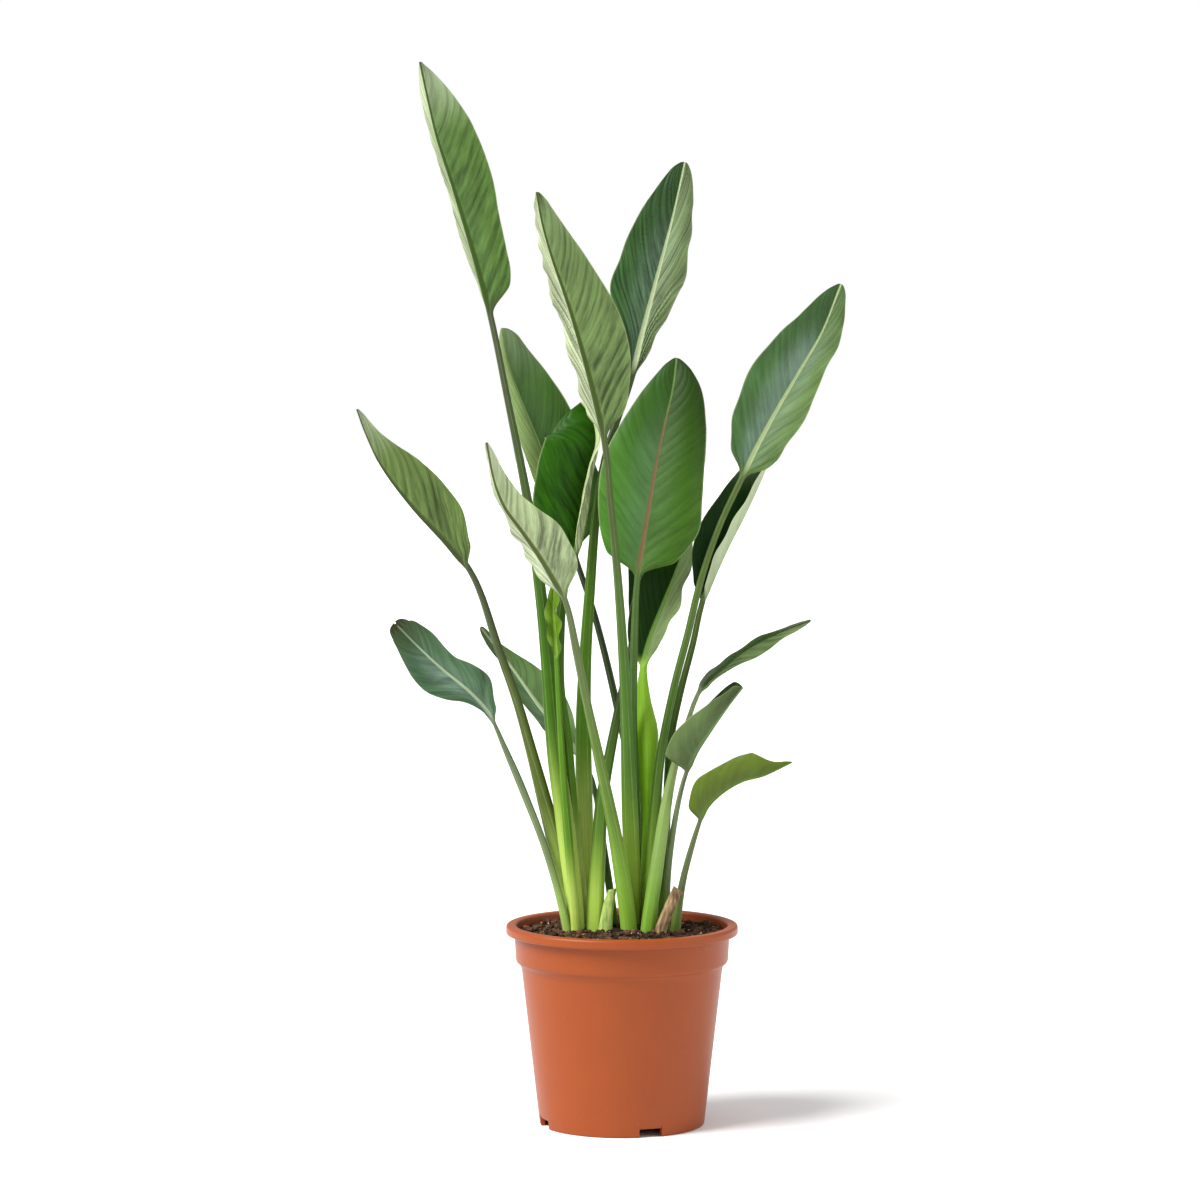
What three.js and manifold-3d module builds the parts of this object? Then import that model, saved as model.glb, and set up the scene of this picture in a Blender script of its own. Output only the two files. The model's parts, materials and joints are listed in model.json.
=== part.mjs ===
// A potted bird of paradise: two fans of paddle-shaped leaves on long stalks, in a plastic nursery pot.
// Millimetres, +Z up. -Y is the front. The places below are from the point under the pot's middle.
import * as THREE from "three";
import { mergeVertices } from "three/addons/utils/BufferGeometryUtils.js";
import Module from "manifold-3d";

const wasm = await Module();
wasm.setup();

// Pot
const POT_HEIGHT = 207;
const LIP_RADIUS = 119.5;
const LIP_HEIGHT = 10;
const COLLAR_TOP_RADIUS = 111;
const COLLAR_FOOT_RADIUS = 109.3;
const COLLAR_FOOT = 169;
const BODY_TOP_RADIUS = 103.5;
const BODY_TOP = 161;
const FOOT_RADIUS = 85;
const WALL = 2.4;
const FLOOR_UNDERSIDE = 9;
const FLOOR = 3;
const FOOT_RING = 4;
const POT_SIDES = 48;
const NOTCHES = 4;
const NOTCH_WIDTH = 24;
const NOTCH_HEIGHT = 8.5;
const FIRST_NOTCH = -70; // degrees from +X, which puts one notch right of the front
const DRAINS = 6;
const DRAIN_RADIUS = 6;
const DRAIN_CIRCLE = 52;

// Soil
const SOIL_EDGE = 197;
const SOIL_MOUND = 5.5;
const SOIL_LUMP = 1.6;
const SOIL_RINGS = 7;
const SOIL_SIDES = 36;

// Every stalk stands this deep in the soil, in a hole this much wider than itself
const ROOT_END = 172;
const ROOT_LEAN = 0.4;
const HOLE_GAP = 0.35;
const PIECE_GAP = 0.3;

// Leaf section: points across each face, from one margin over the rib to the other
const STALK_ANGLES = [171, 148, 116, 90, 64, 32, 9];
const ACROSS = [1, 0.52, 0, 0, 0, 0.52, 1];
const GROOVE = 0.8;
const STALK_DEPTH = 0.84;
const BLADE = 0.9;
const RIB_TIP_WIDTH = 2;
const RIB_TIP_DEPTH = 1.1;
const BASE_ROUND = 0.09;
const TIP_ROUND = 0.05;
const BLENDED = 0.1;
const RIB_BASE_DEPTH = 0.7;
const RIB_SLIM = 0.8; // share of the blade over which its rib grows slim
const STALK_STEPS = 8;
const STUMP_STEPS = 3;

// Each leaf: the middle line of its stalk from the soil to the blade, then of its rib to the tip; the
// stalk's width at even places from the soil to the blade, and the rib's at the blade's base; the width of
// the blade's left and right half at nine even places; the turn about its own rib and the fold of its
// halves towards the front, both in degrees at the base and the tip; and the height and number of waves in
// its margins. Left and right are as seen from the front, looking up the leaf.
const LEAVES = {
  leaf_tall_left: {
    stalk: [
      [-46.5, -7, 205], [-59, -10, 315], [-69, -11, 388], [-76.5, -16, 481], [-82.5, -22, 543],
      [-95.5, -33, 640], [-116, -46, 747], [-132.5, -58, 830],
    ],
    rib: [
      [-148, -72, 890], [-168, -88, 957.5], [-185, -104, 1011], [-194, -113, 1050.5], [-200.5, -120, 1082.5],
    ],
    thick: [14, 14, 13.5, 13, 10.5, 7.5, 6.5], left: [8, 17, 27, 26, 20, 17, 18, 15, 3],
    right: [12, 30, 34, 37, 41, 41, 36.5, 23, 3], turn: [31, 24], fold: [-45, -40], wave: [0.5, 3],
    steps: 13, colour: 0x5c8046,
  },
  leaf_left_high: {
    stalk: [
      [-51, 5, 205], [-67, 2, 283], [-80.5, 0, 337], [-93.5, -3, 387], [-108, -8, 439], [-127, -13, 494],
      [-145, -18, 551], [-156, -20, 574],
    ],
    rib: [[-176, -25, 600], [-213, -33, 640], [-244.5, -42, 682], [-260, -47, 715], [-268, -50, 738]],
    thick: [14, 18, 15.5, 12, 10.5, 9.5, 7.5], left: [8, 22, 29, 28, 25, 21, 16, 9, 3],
    right: [9, 20, 35, 39, 39, 34, 24, 12, 3], turn: [80, 74], fold: [-74, -68], wave: [1, 3], steps: 12,
    colour: 0x567c42,
  },
  leaf_left_low: {
    stalk: [[-57, -14.5, 205], [-77.5, -9, 282], [-103, -2, 348], [-124, 7, 396], [-131, 10, 412]],
    rib: [[-139, 13, 426], [-158, 18, 446], [-187, 28, 469], [-213, 36, 492.5], [-236, 42, 515.5]],
    thick: [9, 7, 7, 6.5, 5], left: [4, 5, 12, 23, 30, 29, 23, 16, 12],
    right: [5, 13, 26, 25, 20, 20, 21, 18, 13], turn: [-5, -5], fold: [22, 14], wave: [1.6, 2], steps: 12,
    colour: 0x567c42,
  },
  leaf_inner: {
    stalk: [
      [-41, 14.5, 205], [-53, 6, 334], [-58, 4, 397], [-65, 2, 449], [-64.5, 1, 500], [-60, 4, 551],
      [-49, 8, 585],
    ],
    rib: [[-39, 14, 625], [-32, 18, 669], [-25, 23, 704.5], [-30, 29, 727], [-42.5, 35, 743.5]],
    thick: [15, 15, 14, 14, 13, 11, 8], left: [38, 47, 55, 57, 57, 56, 55, 54, 36],
    right: [10, 18, 25, 28, 27, 25, 21, 14, 6], turn: [51, 34], fold: [62, 46], wave: [0.8, 5], steps: 12,
    colour: 0x567c42,
  },
  leaf_back_top: {
    stalk: [
      [-35, 27.5, 205], [-39, 19.5, 333], [-39.5, 21, 436], [-34, 29, 539], [-20, 45, 673], [10, 75, 768],
    ],
    rib: [[20, 88, 809], [36, 106, 869.5], [53, 124, 933.5], [66.5, 140, 993.5]],
    thick: [16, 17.5, 16.5, 12.5, 10, 8, 7], left: [6.5, 19.5, 37, 47, 44, 41, 33.5, 22, 7.5],
    right: [4, 11, 16, 24, 27, 24, 20, 15, 6], turn: [2, 2], fold: [22, 14], wave: [1.5, 5], steps: 12,
    colour: 0x567c42,
  },
  leaf_back_left: {
    stalk: [[27, 16, 205], [18, 30, 311], [-6, 58, 431], [-28.5, 62, 522], [-48, 62, 581]],
    rib: [[-64.5, 64, 638], [-84, 68, 693], [-107, 73, 750], [-118.5, 75, 784.5], [-124.5, 76, 819.5]],
    thick: [10, 8.5, 7.5, 6], left: [4, 16, 25, 29.5, 28, 22.5, 16.5, 10.5, 5],
    right: [9, 32, 48, 48.5, 46, 44, 37, 26, 11], turn: [-22, -22], fold: [34, 30], wave: [0.8, 3],
    steps: 12, colour: 0x567c42,
  },
  leaf_back_dark: {
    stalk: [[-28, -8, 205], [-24, -4, 290], [-21, 6, 333], [-12, 16, 384], [-2, 30, 433], [9, 56, 484]],
    rib: [[18, 70, 526], [30, 86, 578], [41, 102, 634], [52, 115, 690]],
    thick: [18, 16, 13.5, 11, 9, 7], left: [4, 8, 14, 22, 28, 30, 27, 20, 6],
    right: [8, 16, 23, 26, 28, 28, 25, 19, 6], turn: [0, 0], fold: [24, 16], wave: [1.5, 3], steps: 11,
    colour: 0x6b8a56,
  },
  leaf_back_low: {
    stalk: [[-8, 16, 205], [-18.5, 28, 280], [-26, 36, 331], [-34, 43, 359.5], [-41.5, 46, 371.5]],
    rib: [[-58, 53, 396], [-84, 65, 424], [-114.5, 79, 465], [-147.5, 90, 507]],
    thick: [9, 8, 7, 6, 5], left: [5, 10, 15, 18, 16, 13, 10, 8, 5], right: [3, 8, 21, 28, 27, 21, 12, 5, 3],
    turn: [15, 15], fold: [-26, -22], wave: [1.6, 3], steps: 11, colour: 0x6b8a56,
  },
  leaf_front_top: {
    stalk: [
      [12.5, -4, 205], [7, -14, 347], [3, -28, 451], [-4.5, -48, 565], [-12.5, -62, 646.5],
      [-18, -72, 705.5],
    ],
    rib: [[-31.5, -88, 765], [-51.5, -112, 836], [-71, -138, 893], [-79.5, -151, 924], [-84.5, -165, 953]],
    thick: [14, 17, 13, 10, 8, 6.5], left: [12.5, 24, 26.5, 25.5, 25.5, 23.5, 16, 12, 2.5],
    right: [8, 31, 43.5, 48, 44, 36.5, 28.5, 17.5, 4.5], turn: [25, 22], fold: [-37, -34], wave: [1.2, 5],
    steps: 13, colour: 0x86a468,
  },
  leaf_front_light: {
    stalk: [
      [7, -18, 205], [-4.5, -28, 287], [-20, -43, 365.5], [-36.5, -70, 445], [-46.5, -92, 497],
      [-57.5, -115, 549],
    ],
    rib: [
      [-68, -121, 568], [-83, -133, 594], [-102, -144, 622], [-116, -152, 642], [-126, -163, 667],
      [-134, -175, 708],
    ],
    thick: [17, 16, 13, 11, 9, 8.5, 6], left: [8, 28, 30, 25, 15, 9, 8, 5, 2],
    right: [8, 29, 34, 34, 27, 21, 16, 9, 2], turn: [26, 22], fold: [-42, -38], wave: [1.4, 4], steps: 9,
    colour: 0x728e58,
  },
  leaf_front_broad: {
    stalk: [[12.5, 13, 205], [12.5, 6, 334.5], [11.5, -2, 438.5], [12.5, -6, 500.5], [15.5, -10, 563.5]],
    rib: [[21.5, -8, 602.5], [28.5, -6, 644], [35.5, 2, 685], [45, 12, 727.5], [52, 20, 758], [56, 30, 789]],
    thick: [12, 13, 11, 8, 8, 8], left: [20, 40, 50, 55, 54, 46, 36, 24, 6],
    right: [16, 40, 54, 52, 49, 46, 40, 29, 8], turn: [0, 0], fold: [12, 8], wave: [0.6, 3], steps: 9,
    colour: 0x728e58,
  },
  leaf_behind_broad: {
    stalk: [[23.5, 5, 205], [24.5, 11, 335], [24, 16, 396], [22, 20, 437], [22, 24, 468]],
    rib: [[29, 36, 498], [43, 49, 534], [57, 61, 569], [66, 72, 597], [68, 82, 626]],
    thick: [10, 10, 10, 10, 13, 22, 29, 17, 8], left: [10, 20, 28, 32, 32, 30, 27, 19, 5],
    right: [16, 34, 44, 46, 42, 34, 26, 16, 5], turn: [36, 34], fold: [40, 36], wave: [1.6, 4], steps: 9,
    colour: 0x728e58,
  },
  leaf_right_high: {
    stalk: [
      [29, -6, 205], [33, -6, 305], [39, -7, 377.5], [52.5, -8, 449.5], [67, -7, 506], [80.5, -5, 562],
      [100, -3, 618.5], [121.5, 0, 664.5],
    ],
    rib: [[138, 7, 698], [158, 16, 734.5], [183, 28, 776.5], [206, 40, 815.5], [226, 50, 865]],
    thick: [16, 14, 10, 8, 7.5, 6.5, 6], left: [10, 28, 41, 46, 47, 41, 33, 22, 5],
    right: [9, 24, 28, 31, 27, 23, 22, 15, 6], turn: [0, 0], fold: [20, 16], wave: [1.6, 4], steps: 9,
    colour: 0x728e58,
  },
  leaf_right_fold: {
    stalk: [
      [38, 8, 205], [43.5, 9, 272], [46.5, 8, 334.5], [50, 6, 396.5], [60.5, 5, 448.5], [73, 7, 496.5],
      [82, 10, 536.5],
    ],
    rib: [[92.5, 15, 563], [108, 25, 594.5], [126, 36, 627], [143, 50, 660.5], [154.5, 60, 688]],
    thick: [12, 10, 9, 8, 7.5, 6.5], left: [9, 19, 31.5, 36, 36, 33, 29, 22, 5],
    right: [8, 18, 26, 29, 29, 27, 23, 16, 5], turn: [50, 46], fold: [64, 58], wave: [0.8, 4], steps: 9,
    colour: 0x728e58,
  },
  leaf_small_top: {
    stalk: [
      [26.5, -21, 205], [35, -19.5, 265], [41, -18, 306], [47, -14, 342], [54, -8, 372], [68, -1, 418],
      [78, 4, 444],
    ],
    rib: [[87.5, 5, 457.5], [100.5, 6, 469], [126.5, 8, 489.5], [160.5, 9, 507], [194, 10, 520]],
    thick: [15, 14.5, 13.5, 12, 9, 6, 5], left: [18, 20, 17, 16, 16, 14, 12, 8, 3],
    right: [6, 5, 6, 9, 13, 12, 8, 6, 2], turn: [-34, -36], fold: [36, 34], wave: [0.8, 3], steps: 9,
    colour: 0x728e58,
  },
  leaf_small_mid: {
    stalk: [[45, -8, 205], [47.5, -8, 264], [53, -11, 308], [60, -20, 346], [65.5, -30, 367]],
    rib: [[74, -38, 388], [87, -49, 409], [104, -61, 434], [121, -75, 458]],
    thick: [8, 7, 7, 6.5, 5.5], left: [25, 28, 29.5, 28.5, 25, 20, 16, 11, 8],
    right: [12, 22, 26, 25, 23, 21, 19, 16, 11], turn: [-78, -76], fold: [-72, -66], wave: [0.8, 2],
    steps: 9, colour: 0x728e58,
  },
  leaf_small_low: {
    stalk: [[55, -15, 205], [62.5, -19, 255], [71, -25, 289], [79, -30, 316]],
    rib: [[84.5, -35, 331], [98.5, -42, 346.5], [121, -53, 361], [144, -63, 368], [171, -72, 382]],
    thick: [11, 8.5, 7.5, 7, 5.5], left: [10.5, 18.5, 26.5, 26, 25, 26, 25, 9.5, 2],
    right: [10, 19, 24, 23, 24, 23, 17, 8, 2], turn: [-78, -76], fold: [-72, -68], wave: [1, 2], steps: 8,
    colour: 0x96be46,
  },
  leaf_young: {
    stalk: [[-48, -18.5, 205], [-60, -22, 358], [-65, -26, 441], [-67, -29, 482]],
    rib: [[-68, -31, 506], [-70, -33, 533], [-69, -35, 560]],
    thick: [4, 4, 4.5, 5], left: [2, 4, 7, 9, 8, 9, 8, 6, 3], right: [3, 5, 8, 10, 10, 8, 9, 7, 3],
    turn: [20, 20], fold: [40, 40], wave: [2, 3], steps: 8, colour: 0x96be46,
  },
};

// The cut stalk and the dry sheath: middle line, then width and depth at the soil and at the top
const STUB = {
  line: [[-17, -22, 205], [-14, -18, 228], [-10, -15, 245]], wide: [16, 9], deep: [9, 5.5], slant: 4,
};
const SHEATH = {
  line: [[41, -29, 205], [48, -30, 228], [57, -31, 247]], wide: [12, 10], deep: [8, 5], slant: -3,
};

const radians = (degrees) => (degrees * Math.PI) / 180;
const between = (from, to, share) => from + (to - from) * share;
const eased = (x) => {
  const share = Math.min(Math.max(x, 0), 1);
  return share * share * (3 - 2 * share);
};

// The value at a share from 0 to 1 of a smooth line through evenly spaced values
function along(values, share) {
  const last = values.length - 1;
  const place = Math.min(Math.max(share, 0), 1) * last;
  const k = Math.min(Math.floor(place), last - 1);
  const slope = (i) => {
    const [before, after] = [Math.max(i - 1, 0), Math.min(i + 1, last)];
    return (values[after] - values[before]) / (after - before);
  };
  const t = place - k;
  return (
    (2 * t ** 3 - 3 * t ** 2 + 1) * values[k] + (t ** 3 - 2 * t ** 2 + t) * slope(k) +
    (3 * t ** 2 - 2 * t ** 3) * values[k + 1] + (t ** 3 - t ** 2) * slope(k + 1)
  );
}

// A closed mesh over rings with the same number of points each, with a flat cap on each end
function ringsGeometry(rings) {
  const size = rings[0].length;
  const positions = rings.flat().flatMap((point) => point.toArray());
  const index = [];
  for (let ring = 0; ring + 1 < rings.length; ring++) {
    for (let i = 0; i < size; i++) {
      const next = (i + 1) % size;
      const [a, b] = [ring * size + i, ring * size + next];
      const [c, d] = [a + size, b + size];
      // Both faces of a blade are split along the same diagonal
      if (i < size / 2) index.push(a, b, c, b, d, c);
      else index.push(a, b, d, a, d, c);
    }
  }
  const top = (rings.length - 1) * size;
  for (let i = 0; i + 1 < size / 2; i++) {
    const [a, b, c, d] = [i, i + 1, size - 2 - i, size - 1 - i];
    index.push(a, c, b, a, d, c);
    index.push(top + a, top + b, top + c, top + a, top + c, top + d);
  }
  const geometry = new THREE.BufferGeometry();
  geometry.setAttribute("position", new THREE.Float32BufferAttribute(positions, 3));
  geometry.setIndex(index);
  return geometry;
}

// The middle line with its buried end, the distance along it, and where its blade begins
function middleLine(stalk, rib = []) {
  const [soilPoint, next] = stalk.map((p) => new THREE.Vector3(...p));
  const deeper = (soilPoint.z - ROOT_END) / (next.z - soilPoint.z);
  const root = soilPoint.clone().lerp(next, -deeper * ROOT_LEAN).setZ(ROOT_END);
  const points = [root, ...[...stalk, ...rib].map((p) => new THREE.Vector3(...p))];
  const curve = new THREE.CatmullRomCurve3(points);
  const pieces = 40 * (points.length - 1);
  const reach = curve.getLengths(pieces);
  return { curve, length: reach[pieces], soil: reach[40], base: reach[40 * stalk.length] };
}

// The directions across a leaf: right, and out of its upper face, turned about the middle line
function acrossLine(curve, share, turn, face) {
  const ahead = curve.getTangentAt(share);
  const right = new THREE.Vector3(0, 1, 0).cross(ahead).normalize();
  const front = right.clone().cross(ahead);
  const side = right.clone().multiplyScalar(Math.cos(turn)).addScaledVector(front, Math.sin(turn));
  const up = front.clone().multiplyScalar(Math.cos(turn)).addScaledVector(right, -Math.sin(turn));
  return { side, up: up.multiplyScalar(face) };
}

// Where a stalk's section lies, as [right, up]: a grooved oval, its upper face first, then its lower
function stalkSection(halfWidth, halfDepth) {
  const upper = STALK_ANGLES.map((degrees, i) => [
    halfWidth * Math.cos(radians(degrees)),
    halfDepth * Math.sin(radians(degrees)) * (i === 3 ? GROOVE : 1),
  ]);
  const lower = STALK_ANGLES.map((degrees) => [
    halfWidth * Math.cos(radians(degrees)),
    -halfDepth * Math.sin(radians(degrees)),
  ]);
  return [upper, lower];
}

// Where a blade's section lies, as [right, up]: two halves folded up from a rib that is raised below
function bladeSection({ left, right, fold, ribHalf, ribDepth, waveLeft, waveRight }) {
  const place = (i, face) => {
    if (i === 3) return [0, face > 0 ? BLADE * 0.2 : -ribDepth];
    const hand = i < 3 ? -1 : 1;
    const width = Math.max((hand < 0 ? left : right) - ribHalf, 0.2);
    const out = ACROSS[i] * width;
    const wave = (hand < 0 ? waveLeft : waveRight) * ACROSS[i] ** 2;
    const edge = face < 0 && ACROSS[i] === 0 ? 0.22 * ribDepth : 0;
    const lift = (face * BLADE) / 2 + wave - edge;
    return [
      hand * (ribHalf * Math.cos(fold / 2) + out * Math.cos(fold) - lift * Math.sin(fold)),
      ribHalf * Math.sin(fold / 2) + out * Math.sin(fold) + lift * Math.cos(fold),
    ];
  };
  return [1, -1].map((face) => ACROSS.map((_, i) => place(i, face)));
}

// One ring of points round a leaf, some steps up its stalk and then along its blade
function leafRing(leaf, { curve, length, soil, base }, step, grow = 0) {
  const face = Math.sign(leaf.fold[0]);
  const inBlade = Math.max(step - STALK_STEPS, 0) / leaf.steps;
  const share = 0.5 * inBlade + 0.25 * (1 - Math.cos(Math.PI * inBlade));
  const distance = step < STALK_STEPS ? base * (step / STALK_STEPS) : between(base, length, share);
  const turn = radians(between(leaf.turn[0], leaf.turn[1], share)) * eased((distance - soil) / (base - soil));
  const { side, up } = acrossLine(curve, Math.min(distance / length, 1), turn, face);
  const rounded = (x) => Math.sqrt(1 - (1 - Math.min(x, 1)) ** 2);
  const shape = rounded(share / BASE_ROUND) * rounded((1 - share) / TIP_ROUND);
  const slim = Math.min(share / RIB_SLIM, 1);
  const ribHalf = between(leaf.thick.at(-1), RIB_TIP_WIDTH, slim) / 2;
  const calm = Math.sin(Math.PI * share) ** 0.5 * leaf.wave[0];
  const waves = 2 * Math.PI * leaf.wave[1] * share;
  const blade = bladeSection({
    left: between(ribHalf, along(leaf.left, share), shape),
    right: between(ribHalf, along(leaf.right, share), shape),
    fold: Math.abs(radians(between(leaf.fold[0], leaf.fold[1], share))),
    ribHalf,
    ribDepth: between(leaf.thick.at(-1) * RIB_BASE_DEPTH, RIB_TIP_DEPTH, slim),
    waveLeft: calm * Math.sin(waves),
    waveRight: calm * Math.cos(waves),
  });
  const thick = along(leaf.thick, (distance - soil) / (base - soil)) / 2;
  const stalk = stalkSection(thick + grow, thick * STALK_DEPTH + grow);
  const opened = eased(share / BLENDED);
  const centre = curve.getPointAt(Math.min(distance / length, 1));
  const put = (track) =>
    stalk[track].map(([x, n], i) =>
      centre
        .clone()
        .addScaledVector(side, between(x, blade[track][i][0], opened))
        .addScaledVector(up, between(n, blade[track][i][1], opened)),
    );
  return face > 0 ? [...put(0), ...put(1).reverse()] : [...put(1), ...put(0).reverse()];
}

// One grown piece: a stalk that opens into a folded blade with waved margins
function leafGeometry(leaf) {
  const line = middleLine(leaf.stalk, leaf.rib);
  const steps = STALK_STEPS + leaf.steps + 1;
  return ringsGeometry(Array.from({ length: steps }, (_, step) => leafRing(leaf, line, step)));
}

// One ring of a plain stump that may taper, with a slanted cut on top
function stumpRing({ line, wide, deep, slant }, step, grow = 0) {
  const { curve } = middleLine(line);
  const share = step / STUMP_STEPS;
  const { side, up } = acrossLine(curve, share, 0, 1);
  const halfWidth = between(wide[0], wide[1], share) / 2 + grow;
  const [upper, lower] = stalkSection(halfWidth, between(deep[0], deep[1], share) / 2 + grow);
  const rise = step === STUMP_STEPS ? slant / wide[1] : 0;
  const put = ([x, n]) => {
    const point = curve.getPointAt(share).addScaledVector(side, x).addScaledVector(up, n);
    return point.setZ(point.z + rise * x);
  };
  return [...upper.map(put), ...lower.map(put).reverse()];
}

function stumpGeometry(stump) {
  return ringsGeometry(Array.from({ length: STUMP_STEPS + 1 }, (_, step) => stumpRing(stump, step)));
}

// What a stalk takes out of the soil: its first stretch, up into the air, a little wider and deeper
function holeGeometry(ringAt) {
  const bottom = ringAt(0).map((point) => point.setZ(point.z - HOLE_GAP));
  return ringsGeometry([bottom, ringAt(1), ringAt(2)]);
}

// Booleans on closed meshes
function toSolid(geometry) {
  const bare = geometry.clone();
  bare.deleteAttribute("normal");
  bare.deleteAttribute("uv");
  const merged = mergeVertices(bare, 1e-4);
  return new wasm.Manifold(
    new wasm.Mesh({
      numProp: 3,
      vertProperties: new Float32Array(merged.attributes.position.array),
      triVerts: new Uint32Array(merged.index.array),
    }),
  );
}

function toGeometry(solid) {
  const mesh = solid.getMesh();
  const geometry = new THREE.BufferGeometry();
  geometry.setAttribute("position", new THREE.Float32BufferAttribute(mesh.vertProperties, 3));
  geometry.setIndex(Array.from(mesh.triVerts));
  return geometry;
}

const cut = (solid, tools) => tools.reduce((rest, tool) => rest.subtract(toSolid(tool)), solid);

// A ring of revolution about the pot's axis, from [radius, height] points
function turned(profile, sides) {
  const points = profile.map(([radius, height]) => new THREE.Vector2(radius, height));
  return new THREE.LatheGeometry(points, sides).rotateX(Math.PI / 2);
}

// The outer radius of the pot's plain body at a height
const bodyRadius = (height) => between(FOOT_RADIUS, BODY_TOP_RADIUS, height / BODY_TOP);

function potGeometry() {
  const lipFoot = POT_HEIGHT - LIP_HEIGHT;
  const floorTop = FLOOR_UNDERSIDE + FLOOR;
  const profile = [
    [0, FLOOR_UNDERSIDE],
    [FOOT_RADIUS - FOOT_RING, FLOOR_UNDERSIDE],
    [FOOT_RADIUS - FOOT_RING, 0],
    [FOOT_RADIUS - 0.8, 0],
    [FOOT_RADIUS, 1.2],
    [BODY_TOP_RADIUS, BODY_TOP],
    [BODY_TOP_RADIUS + 1.2, BODY_TOP + 3.5],
    [COLLAR_FOOT_RADIUS - 0.8, COLLAR_FOOT - 1],
    [COLLAR_FOOT_RADIUS, COLLAR_FOOT + 1.5],
    [COLLAR_TOP_RADIUS, lipFoot - 1.5],
    [COLLAR_TOP_RADIUS + 2.5, lipFoot],
    [LIP_RADIUS - 1.4, lipFoot + 0.8],
    [LIP_RADIUS, lipFoot + 3.5],
    [LIP_RADIUS, POT_HEIGHT - 3],
    [LIP_RADIUS - 1.6, POT_HEIGHT - 0.4],
    [LIP_RADIUS - 3.6, POT_HEIGHT],
    [COLLAR_TOP_RADIUS - WALL + 2.6, POT_HEIGHT - 0.6],
    [COLLAR_TOP_RADIUS - WALL, POT_HEIGHT - 3.5],
    [COLLAR_FOOT_RADIUS - WALL, COLLAR_FOOT + 1.5],
    [BODY_TOP_RADIUS - WALL, BODY_TOP],
    [bodyRadius(floorTop) - WALL, floorTop],
    [0, floorTop],
  ];
  const notches = Array.from({ length: NOTCHES }, (_, i) =>
    new THREE.BoxGeometry(FOOT_RING * 4, NOTCH_WIDTH, NOTCH_HEIGHT * 2)
      .translate(FOOT_RADIUS - FOOT_RING, 0, 0)
      .rotateZ(radians(FIRST_NOTCH + (360 * i) / NOTCHES)),
  );
  const drains = Array.from({ length: DRAINS }, (_, i) =>
    new THREE.CylinderGeometry(DRAIN_RADIUS, DRAIN_RADIUS, FLOOR * 4, 12)
      .rotateX(Math.PI / 2)
      .translate(DRAIN_CIRCLE, 0, FLOOR_UNDERSIDE + FLOOR / 2)
      .rotateZ((2 * Math.PI * (i + 0.5)) / DRAINS),
  );
  return toGeometry(cut(toSolid(turned(profile, POT_SIDES)), [...notches, ...drains]));
}

// The height of the soil at a place: a low mound under the stalks, with clods on it
function soilHeight(x, y) {
  const mound = SOIL_MOUND * Math.exp(-(x * x + y * y) / 70 ** 2);
  const clods = Math.sin(x / 7.3 + 1.3 * Math.sin(y / 11)) * Math.cos(y / 6.1 + 0.8 * Math.sin(x / 13));
  return SOIL_EDGE + mound + SOIL_LUMP * clods;
}

function soilGeometry(holes) {
  const foot = FLOOR_UNDERSIDE + FLOOR + PIECE_GAP;
  const inner = (outer) => outer - WALL - PIECE_GAP - 0.4;
  const top = Array.from({ length: SOIL_RINGS }, (_, i) => [
    (inner(COLLAR_TOP_RADIUS - 0.6) * (SOIL_RINGS - i)) / (SOIL_RINGS + 0.01),
    SOIL_EDGE,
  ]);
  const profile = [
    [0, foot],
    [inner(bodyRadius(foot)), foot],
    [inner(BODY_TOP_RADIUS), BODY_TOP],
    [inner(COLLAR_FOOT_RADIUS), COLLAR_FOOT + 2.5],
    ...top,
    [0, SOIL_EDGE],
  ];
  const geometry = turned(profile, SOIL_SIDES);
  const place = geometry.attributes.position;
  for (let i = 0; i < place.count; i++) {
    if (place.getZ(i) > SOIL_EDGE - 0.1) place.setZ(i, soilHeight(place.getX(i), place.getY(i)));
  }
  return toGeometry(cut(toSolid(geometry), holes));
}

const plastic = new THREE.MeshStandardMaterial({ color: 0xc8693c, roughness: 0.45, metalness: 0 });
const earth = new THREE.MeshStandardMaterial({ color: 0x3b2618, roughness: 1, metalness: 0 });
const cutGreen = new THREE.MeshStandardMaterial({ color: 0x96b464, roughness: 0.6, metalness: 0 });
const dryBrown = new THREE.MeshStandardMaterial({ color: 0x8c6441, roughness: 0.8, metalness: 0 });

const plant = new THREE.Group();

function add(name, geometry, material) {
  const mesh = new THREE.Mesh(geometry, material);
  mesh.name = name;
  plant.add(mesh);
}

const holes = [
  ...Object.values(LEAVES).map((leaf) =>
    holeGeometry((step) => leafRing(leaf, middleLine(leaf.stalk, leaf.rib), step, HOLE_GAP)),
  ),
  ...[STUB, SHEATH].map((stump) => holeGeometry((step) => stumpRing(stump, step, HOLE_GAP))),
];

add("pot", potGeometry(), plastic);
add("soil", soilGeometry(holes), earth);
for (const [name, leaf] of Object.entries(LEAVES)) {
  const green = new THREE.MeshStandardMaterial({ color: leaf.colour, roughness: 0.45, metalness: 0 });
  add(name, leafGeometry(leaf), green);
}
add("cut_stalk", stumpGeometry(STUB), cutGreen);
add("dry_sheath", stumpGeometry(SHEATH), dryBrown);

// The part's origin is under the middle of everything, so the pot, which the sizes above are measured
// from, stands a little off it
const middle = new THREE.Box3().setFromObject(plant, true).getCenter(new THREE.Vector3());
plant.position.set(-middle.x, -middle.y, 0);

export default plant;
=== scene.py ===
"""A potted bird of paradise: two fans of paddle-shaped leaves in a terracotta-coloured nursery pot."""

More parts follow.
